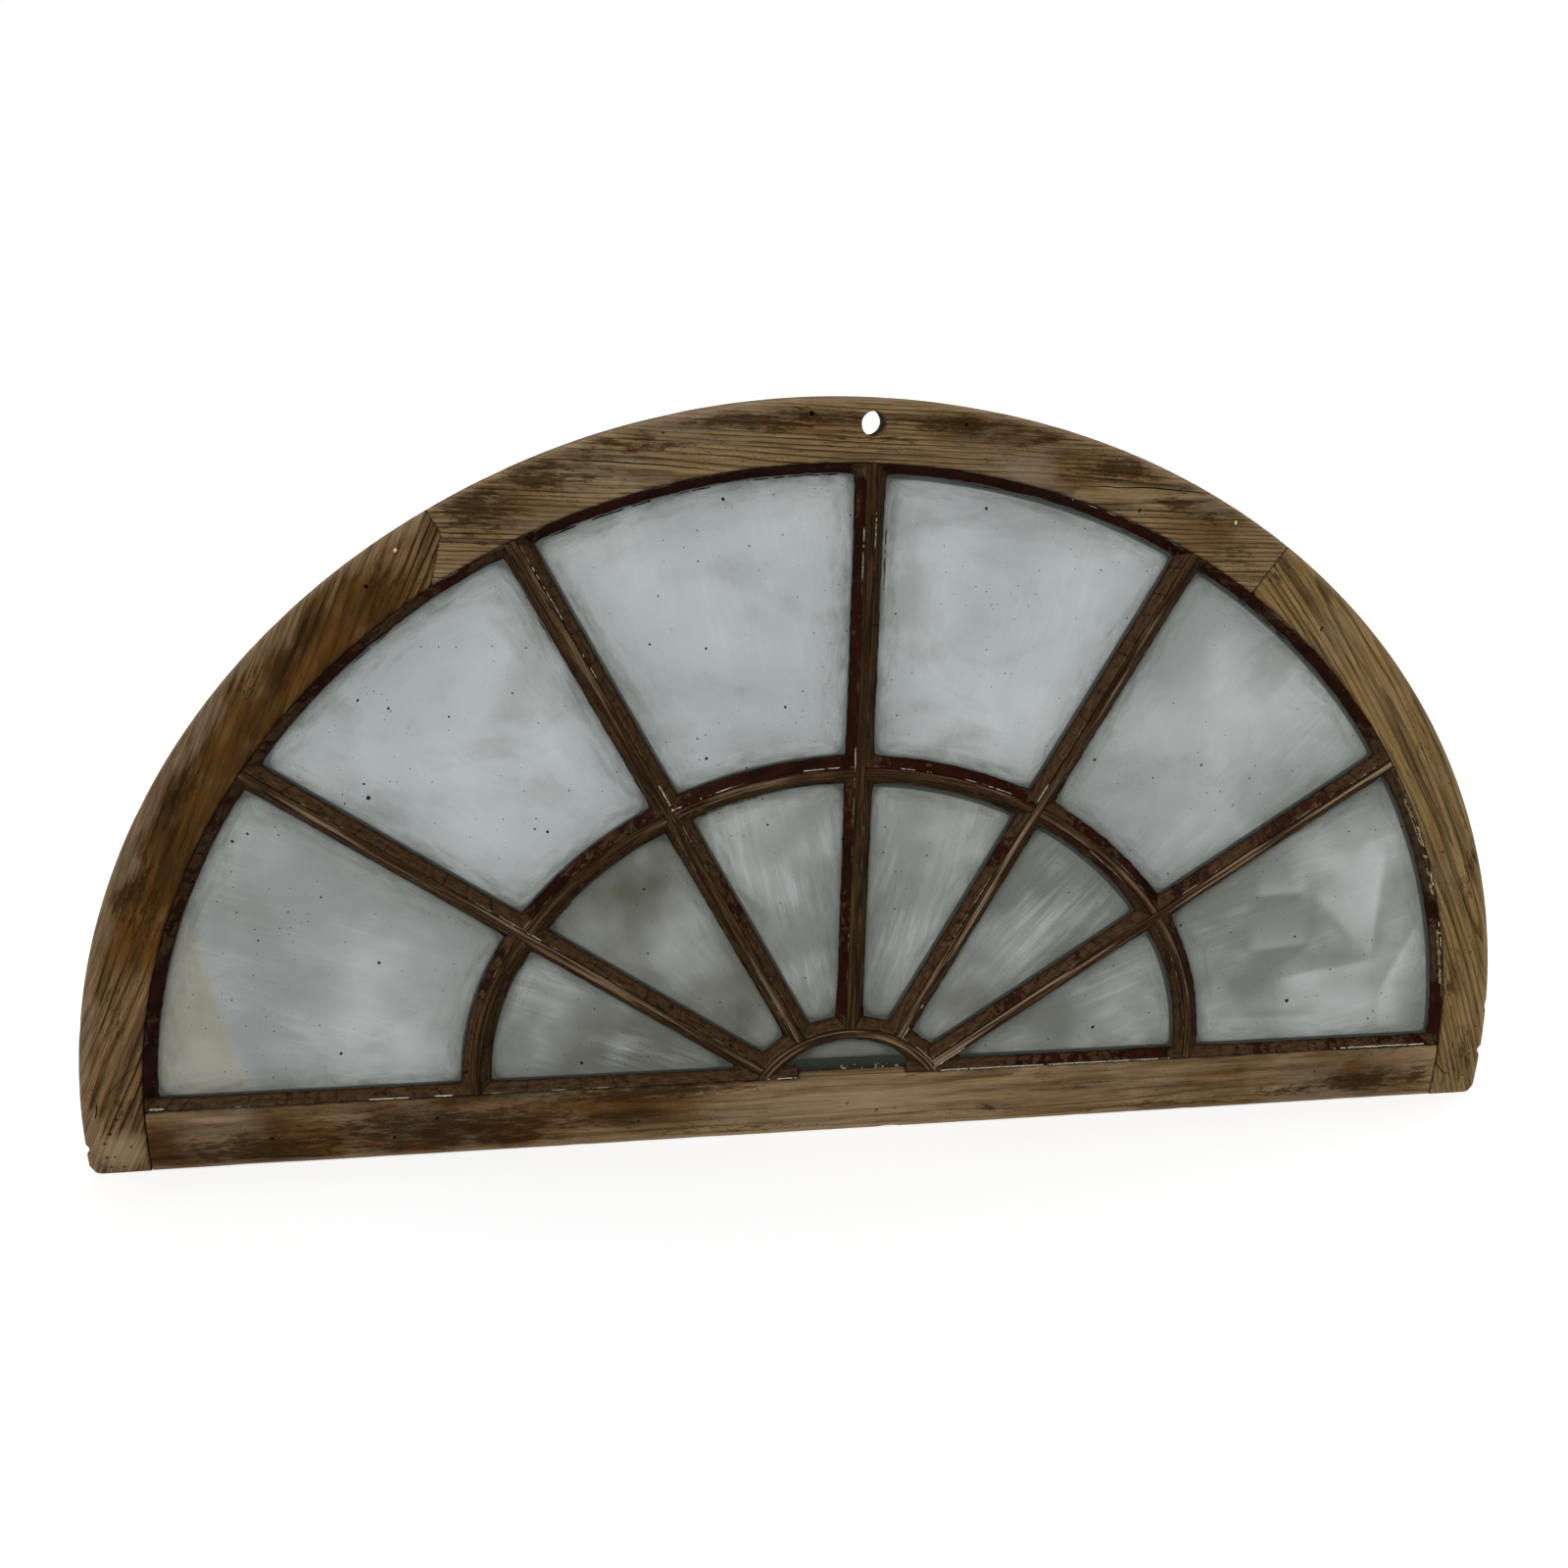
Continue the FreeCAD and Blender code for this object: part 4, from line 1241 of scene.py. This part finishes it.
# Folds on the lowest right pane, painted as reflections with a lighter and a darker side: two ends, how far
# the light side reaches, and strength
FOLDS = [
    ((482, 135), (475, 246), 45, 0.4),
    ((484, 134), (393, 120), 28, 0.4),
    ((359, 202), (405, 204), 15, 0.3),
    ((361, 147), (414, 152), 16, 0.28),
    ((414, 201), (462, 155), 40, 0.22),
    ((519, 168), (496, 102), 22, 0.45),
    ((496, 102), (501, 62), 22, 0.35),
    ((440, 78), (336, 81), 18, 0.25),
]


def fold_light(points):
    """How much lighter or darker the folds' painted reflection makes the film at points about the fan's
    centre.
    """
    total = 0
    for start, end, reach, strength in FOLDS:
        run = np.subtract(end, start)
        length = np.hypot(*run)
        along = (points - start) @ run / length ** 2
        aside = (points - start) @ turned(run) / length
        ends = smooth_step(along, -0.1, 0.15) * (1 - smooth_step(along, 0.85, 1.1))
        light = np.exp(-np.maximum(aside, 0) / reach)
        dark = -0.55 * np.exp(np.minimum(aside, 0) / (0.6 * reach))
        side = smooth_step(aside, -4, 4)
        total = total + strength * ends * (side * light + (1 - side) * dark)
    return total


def closer_at_ends(count):
    """Shares from 0 to 1 that lie closer together near both ends."""
    return (1 - np.cos(np.linspace(0, np.pi, count))) / 2


def pane_grid(sides, count):
    """A net of points over a four-sided opening, closer together near its edges."""
    shares = closer_at_ends(count)
    low, outside, high, inside = sides
    p, q = shares[:, None, None], shares[None, :, None]
    net = (1 - q) * side_points(low, shares)[:, None] + q * side_points(high, 1 - shares)[:, None]
    net = net + (1 - p) * side_points(inside, 1 - shares)[None] + p * side_points(outside, shares)[None]
    corners = (1 - p) * (1 - q) * low[0] + p * (1 - q) * low[1] + p * q * high[0] + (1 - p) * q * high[1]
    return net - corners


def hub_grid(inset):
    """A net of points over the half-round opening."""
    radius = HUB_RADIUS - HALF_NOSING - inset
    foot = math.asin((RISE + inset) / radius)
    turn = np.pi / 2 + (np.pi / 2 - foot) * np.cos(np.linspace(0, np.pi, GLASS_COUNT))
    top = radius * np.stack([np.cos(turn), np.sin(turn)], 1)
    base = np.stack([top[:, 0], np.full(GLASS_COUNT, RISE + inset)], 1)
    return base[:, None] + (top - base)[:, None] * closer_at_ends(GLASS_COUNT // 2)[None, :, None]


def rim_places(points, sides, insets):
    """Places along and inside the nearest side, so that smears follow the beads."""
    nearest = insets.argmin(0)
    along = np.zeros(len(points))
    for number, side in enumerate(sides):
        along = np.where(nearest == number, beside(points, side)[0] + SIDE_SHIFT * number, along)
    return xyz(along, insets.min(0), 0)


def pane(name, node, net, sides, hand, tone, wiping, band, seed):
    """A plate of old glass over a net of points; band is how wide each bead's painted reflection, a dark
    band, is in it.
    """
    flat = net.reshape(-1, 2)
    count = len(flat)
    plates = []
    for depth in (GLASS_FRONT, SEAT):
        plate = xyz(flat[:, 0] * hand, depth, flat[:, 1] + CENTRE_HEIGHT)
        plate[:, 1] += GLASS_WAVE * noise(plate * (1, 0, 1), GLASS_WAVE_LENGTH, seed)
        plates.append(plate)
    index = np.arange(count).reshape(net.shape[:2])
    quads = np.stack([index[:-1, :-1], index[:-1, 1:], index[1:, 1:], index[1:, :-1]], -1).reshape(-1, 4)
    border = np.concatenate([index[0], index[1:, -1], index[-1, -2::-1], index[-2:0:-1, 0]])
    beside = np.roll(border, -1)
    rim = np.stack([border, beside, beside + count, border + count], 1)
    piece = new_piece(name, np.concatenate(plates), np.concatenate([quads, quads + count, rim]).tolist())

    insets = insets_of(flat, sides) - REBATE_WIDTH
    seen = flat * (hand, 1)
    middle = seen.mean(0)
    # Painted shade: the inner panes darker towards the bottom
    painted_shade_low = 0.3 * (1 - smooth_step(flat[:, 1], 90, 190)) * (np.hypot(*flat.T) < RING_RADIUS)
    layers = {
        "edge": -GLASS_ROUND * np.log(np.exp(-insets / GLASS_ROUND).sum(0)),
        "painted_bead_reflection": (np.array(band)[:, None] - insets).max(0),
        "brush": board_grain(math.atan2(middle[1], middle[0]))(plates[0]),
        "rim": rim_places(flat, sides, insets) + PANE_SHIFT * seed,
        "tone": tone + painted_shade_low,
        "painted_fold_light": fold_light(seen),
        "warm": 0.5 * smooth_step((seen - WARM_LINE[0]) @ turned(WARM_LINE[0] - WARM_LINE[1]), 0, WARM_BLUR),
        "wiped": np.full(count, wiping),
    }
    paint(piece, **{key: np.concatenate([values, values]) for key, values in layers.items()})
    finish_piece(piece, DIRTY_GLASS, node, SOFT_CREASE)


# How wide the beads' painted reflection, a dark band, is in the panes: low side, outside, high side and
# inside
PAINTED_BEAD_REFLECTIONS = {"right": (4.0, 4.5, 0.5, 0.5), "left": (3.0, 1.0, 1.0, 2.5)}

# Panes on which the wiped strokes are fainter
WIPED = {"left_mid_inner": 0.25, "right_low_inner": 0.7}
for seed, (label, (tone, lost)) in enumerate(PANES.items()):
    side, level, band = label.split("_")
    row = ROWS.index(level)
    count = FOLDED_COUNT if label == "right_low_outer" else GLASS_COUNT
    net = pane_grid(opening_sides(row, band, GLASS_GAP), count)
    edges = opening_sides(row, band, 0)
    wiping = WIPED.get(label, 1.0 if band == "inner" else 0.5)
    pane(f"{label}_glass", f"{label}_pane", net, edges, HANDS[side], tone, wiping, PAINTED_BEAD_REFLECTIONS[side], 540 + seed)
pane("hub_glass", "hub_pane", hub_grid(GLASS_GAP), hub_sides(0), 1, 0.98, 0.3, (7, 0, 7), 560)


# Loose bits: paint flakes along edges, crumbs in the bare rebate and filled nail holes

# How wide a chip is at its top, as a share of its base
CHIP_TAPER = 0.8


def bits(name, places, material, seed):
    """Small ragged chips as one piece: x, z, direction, length, width, depth of its base and height."""
    maker = np.random.default_rng(seed)
    points, faces = [], []
    for x, z, turn, long, wide, base, height in places:
        count = int(maker.integers(6, 10))
        spots = np.linspace(0, 2 * np.pi, count, endpoint=False) + maker.uniform(-0.25, 0.25, count)
        reach = maker.uniform(0.65, 1.0, count)
        along, aside = np.cos(spots) * reach * long / 2, np.sin(spots) * reach * wide / 2
        across = along * math.cos(turn) - aside * math.sin(turn)
        up = along * math.sin(turn) + aside * math.cos(turn)
        rings = []
        for depth, share in ((base, 1.0), (base - height, CHIP_TAPER)):
            rings.append(xyz(x + share * across, depth, z + share * up))
        chip, sides = shell(rings)
        faces += [[len(points) + corner for corner in side] for side in sides]
        points.extend(chip)
    finish_piece(new_piece(name, points, faces), material)


# Where the edges lie that bits stick to: on nosings, on the arch's bead and on the glass beside the beads
RIM = HALF_NOSING + 0.4
RING_TOP = RING_RADIUS + RIM
ARCH_BEAD = ARCH_INNER - 1.6
ARCH_GLASS = ARCH_INNER - REBATE_WIDTH - 1.5
RING_GLASS = RING_RADIUS - RIM - REBATE_WIDTH - 1.0


def rail_edge(first, last, above):
    """A line along the rail, at a height above its face."""
    return np.array([(first, RAIL_FACE + above), (last, RAIL_FACE + above)])


def spoke_edge(angle, side, first, last, away=0.0):
    """A line along one edge of a spoke's nosing, moved sideways."""
    ends = along_spoke(angle)(np.full(2, side * RIM), FRONT, np.array([first, last]))
    return ends[:, [0, 2]] + (away, 0)


def ring_edge(radius, first, last):
    """A line along an edge of a curved bar, between two angles in degrees."""
    return on_fan(radius, FRONT, np.radians(np.linspace(first, last, 12)))[:, [0, 2]]


def edges_of(kind, *rows):
    """Edges of one kind, from rows that end with how many chips lie on each and how wide they are."""
    return [(kind(*row[:-2]), *row[-2:]) for row in rows]


FLAKED_EDGES = edges_of(
    rail_edge,
    (88, 305, 0.4, 80, 1.0), (330, 545, 1.5, 26, 1.5), (-82, -46, 0.4, 7, 0.8), (-390, -330, 1.0, 12, 1.4),
    (-555, -551, 2.0, 4, 3.0),
) + edges_of(
    spoke_edge,
    (LOW, -1, 94, 150, 12, 1.1), (HIGH, -1, 96, 130, 6, 1.1), (HIGH, 1, 335, 380, 6, 1.0),
    (MIDDLE, 1, 330, 360, 5, 1.0), (MIDDLE, 1, 430, 550, 8, 0.9), (MIDDLE, -1, 440, 555, 6, 0.9),
    (LEFT_HIGH, -1, 330, 350, 7, 2.2), (LEFT_HIGH, -1, 400, 540, 14, 1.2), (LEFT_LOW, -1, 300, 420, 7, 0.9),
) + edges_of(
    ring_edge,
    (RING_TOP, 64, 74, 9, 0.9), (RING_TOP, 80, 89, 7, 0.9), (RING_TOP, 91, 97, 6, 1.0),
    (RING_TOP, 109, 116, 6, 1.1), (RING_RADIUS - RIM, 40, 62, 7, 0.9), (HUB_RADIUS + RIM, 32, 48, 8, 0.9),
    (ARCH_INNER - 0.5, 13, 34, 18, 1.6), (ARCH_INNER - 0.5, 66, 88, 4, 0.8),
)
# Black chips on the glass beside the beads: dirt, and also a painted shade line at the beads' foot
DIRT_AND_SHADE_EDGES = edges_of(
    ring_edge,
    (RING_GLASS, 128, 150, 20, 1.6), (RING_GLASS, 97, 113, 10, 1.3), (ARCH_GLASS, 42, 60, 14, 1.8),
    (ARCH_GLASS, 93, 115, 34, 2.4), (ARCH_GLASS, 66, 87, 14, 1.6), (ARCH_GLASS, 122, 140, 8, 1.4),
) + edges_of(
    spoke_edge,
    (MIDDLE, -1, 470, 545, REBATE_WIDTH + 2, 8, 2.0), (LEFT_HIGH, 1, 480, 550, -REBATE_WIDTH - 2, 7, 2.0),
)
PALE_PUTTY = edges_of(ring_edge, (ARCH_BEAD, 21.5, 31, 44, 4.5), (ARCH_BEAD, 11.5, 16.5, 24, 4.5))

# Crumbs in the bare rebate: from and to which x, how many, and the largest
CRUMB_HEAPS = ((-8, 2, 2, 3.4), (22, 51, 10, 2.2), (-42, 50, 12, 1.2))

# Filled nail holes in the arch: x and z
NAIL_HOLES = ((287, 537.5), (-336, 504))


def flakes_on(edges, base, height, seed):
    """Chips scattered along edges, each edge with a count of chips and their width."""
    maker = np.random.default_rng(seed)
    places = []
    for line, count, width in edges:
        runs = runs_along(line)
        clumps = maker.uniform(0, runs[-1], max(1, count // 5))
        for at in np.clip(maker.choice(clumps, count) + maker.normal(0, 12, count), 0, runs[-1]):
            x, z = np.interp(at, runs, line[:, 0]), np.interp(at, runs, line[:, 1])
            near = np.searchsorted(runs[1:-1], at)
            turn = math.atan2(*(line[near + 1] - line[near])[::-1])
            long = maker.uniform(1.0, 4.2) ** 2
            wide = width * maker.uniform(0.3, 0.75)
            places.append((x, z, turn + maker.uniform(-0.06, 0.06), long, wide, base, height))
    return places


def crumbs_on_seat(seed):
    """Crumbs of putty left in the bare rebate below the hub."""
    maker = np.random.default_rng(seed)
    places = []
    for first, last, count, largest in CRUMB_HEAPS:
        for x in maker.uniform(first, last, count):
            z = RAIL_FACE + maker.uniform(0.8, REBATE_WIDTH - 1.6)
            size = largest * maker.uniform(0.3, 1.0)
            turn = maker.uniform(-0.5, 0.5)
            places.append((x, z, turn, size * 1.7, size * 0.6, GLASS_FRONT, maker.uniform(0.4, 1.4)))
    return places


OLD_WHITE = plain_material("old_white_paint", srgb(214, 206, 190), srgb(150, 138, 118), 0.5, 0.8)
CRUMBS = plain_material("putty_crumbs", srgb(176, 174, 156), srgb(56, 54, 38), 0.12, 0.85)
PALE = plain_material("bare_putty", srgb(168, 148, 116), srgb(98, 80, 58), 0.4, 0.85)
BLACK_DIRT_AND_SHADE = plain_material("black_dirt", srgb(40, 34, 26), srgb(12, 10, 8), 0.3, 0.9)
bits("paint_flakes", flakes_on(FLAKED_EDGES, FRONT + 1.3, 1.2, 71), OLD_WHITE, 72)
bits("putty_flakes", flakes_on(PALE_PUTTY, FRONT + 3.2, 2.0, 76), PALE, 77)
# Black chips: dirt and a painted shade line at the beads' foot
bits("edge_dirt", flakes_on(DIRT_AND_SHADE_EDGES, GLASS_FRONT, 0.5, 78), BLACK_DIRT_AND_SHADE, 79)
bits("putty_crumbs", crumbs_on_seat(73), CRUMBS, 74)
bits("nail_plugs", [(x, z, 0.0, 4.2, 4.0, FRONT + 0.6, 0.45) for x, z in NAIL_HOLES], OLD_WHITE, 75)


# Floor, backdrop and light

FLOOR_SIZE = 60


def floor_material():
    """A pale floor that looks white and keeps the shadow."""
    n = Nodes(bpy.data.materials.new("pale_floor"))
    n.tree.nodes.remove(n.tree.nodes["Principled BSDF"])
    plain = n.add("BsdfDiffuse", {"Color": (0.75, 0.75, 0.75, 1)}).outputs[0]
    glow = n.add("Emission", {"Strength": 0.45}).outputs[0]
    bright = n.add("AddShader", {0: plain, 1: glow}).outputs[0]
    n.by_ray(("Camera", "Glossy", "Transmission"), plain, bright)
    return n.owner


bpy.ops.mesh.primitive_plane_add(size=FLOOR_SIZE)
floor = bpy.context.object
floor.name = "floor"
floor.data.materials.append(floor_material())

sky = Nodes(bpy.data.worlds.new("studio"))
bpy.context.scene.world = sky.owner
lit = sky.add("Background", {"Color": (1, 1, 1, 1), "Strength": 0.5}).outputs[0]
seen = sky.add("Background", {"Color": (1, 1, 1, 1)}).outputs[0]
sky.by_ray(("Camera", "Transmission"), lit, seen)


def sun(name, towards, strength, softness):
    """A soft lamp that shines in a direction."""
    lamp = bpy.data.lights.new(name, "SUN")
    lamp.energy = strength
    lamp.angle = math.radians(softness)
    holder = bpy.data.objects.new(name, lamp)
    holder.rotation_euler = Vector(towards).to_track_quat("-Z", "Y").to_euler()
    bpy.context.scene.collection.objects.link(holder)


sun("key", (0.45, 0.7, -0.75), 1.6, 30)
sun("fill", (-0.5, -0.6, -0.6), 0.7, 60)

# Camera at the photograph's viewing angle
CAMERA_PLACE = (-0.128771, -0.865339, 0.63867)
CAMERA_TURN = (71.906, -2.435, -8.709)
CAMERA_LENS = 26.341
CAMERA_SENSOR = 36.0
CAMERA_SHIFT = (-0.0601, -0.0253)

camera_data = bpy.data.cameras.new("camera")
camera = bpy.data.objects.new("camera", camera_data)
camera.location = CAMERA_PLACE
camera.rotation_euler = [math.radians(turn) for turn in CAMERA_TURN]
camera_data.lens = CAMERA_LENS
camera_data.sensor_width = CAMERA_SENSOR
camera_data.shift_x, camera_data.shift_y = CAMERA_SHIFT
bpy.context.scene.collection.objects.link(camera)
bpy.context.scene.camera = camera
bpy.context.scene.view_settings.view_transform = "Standard"
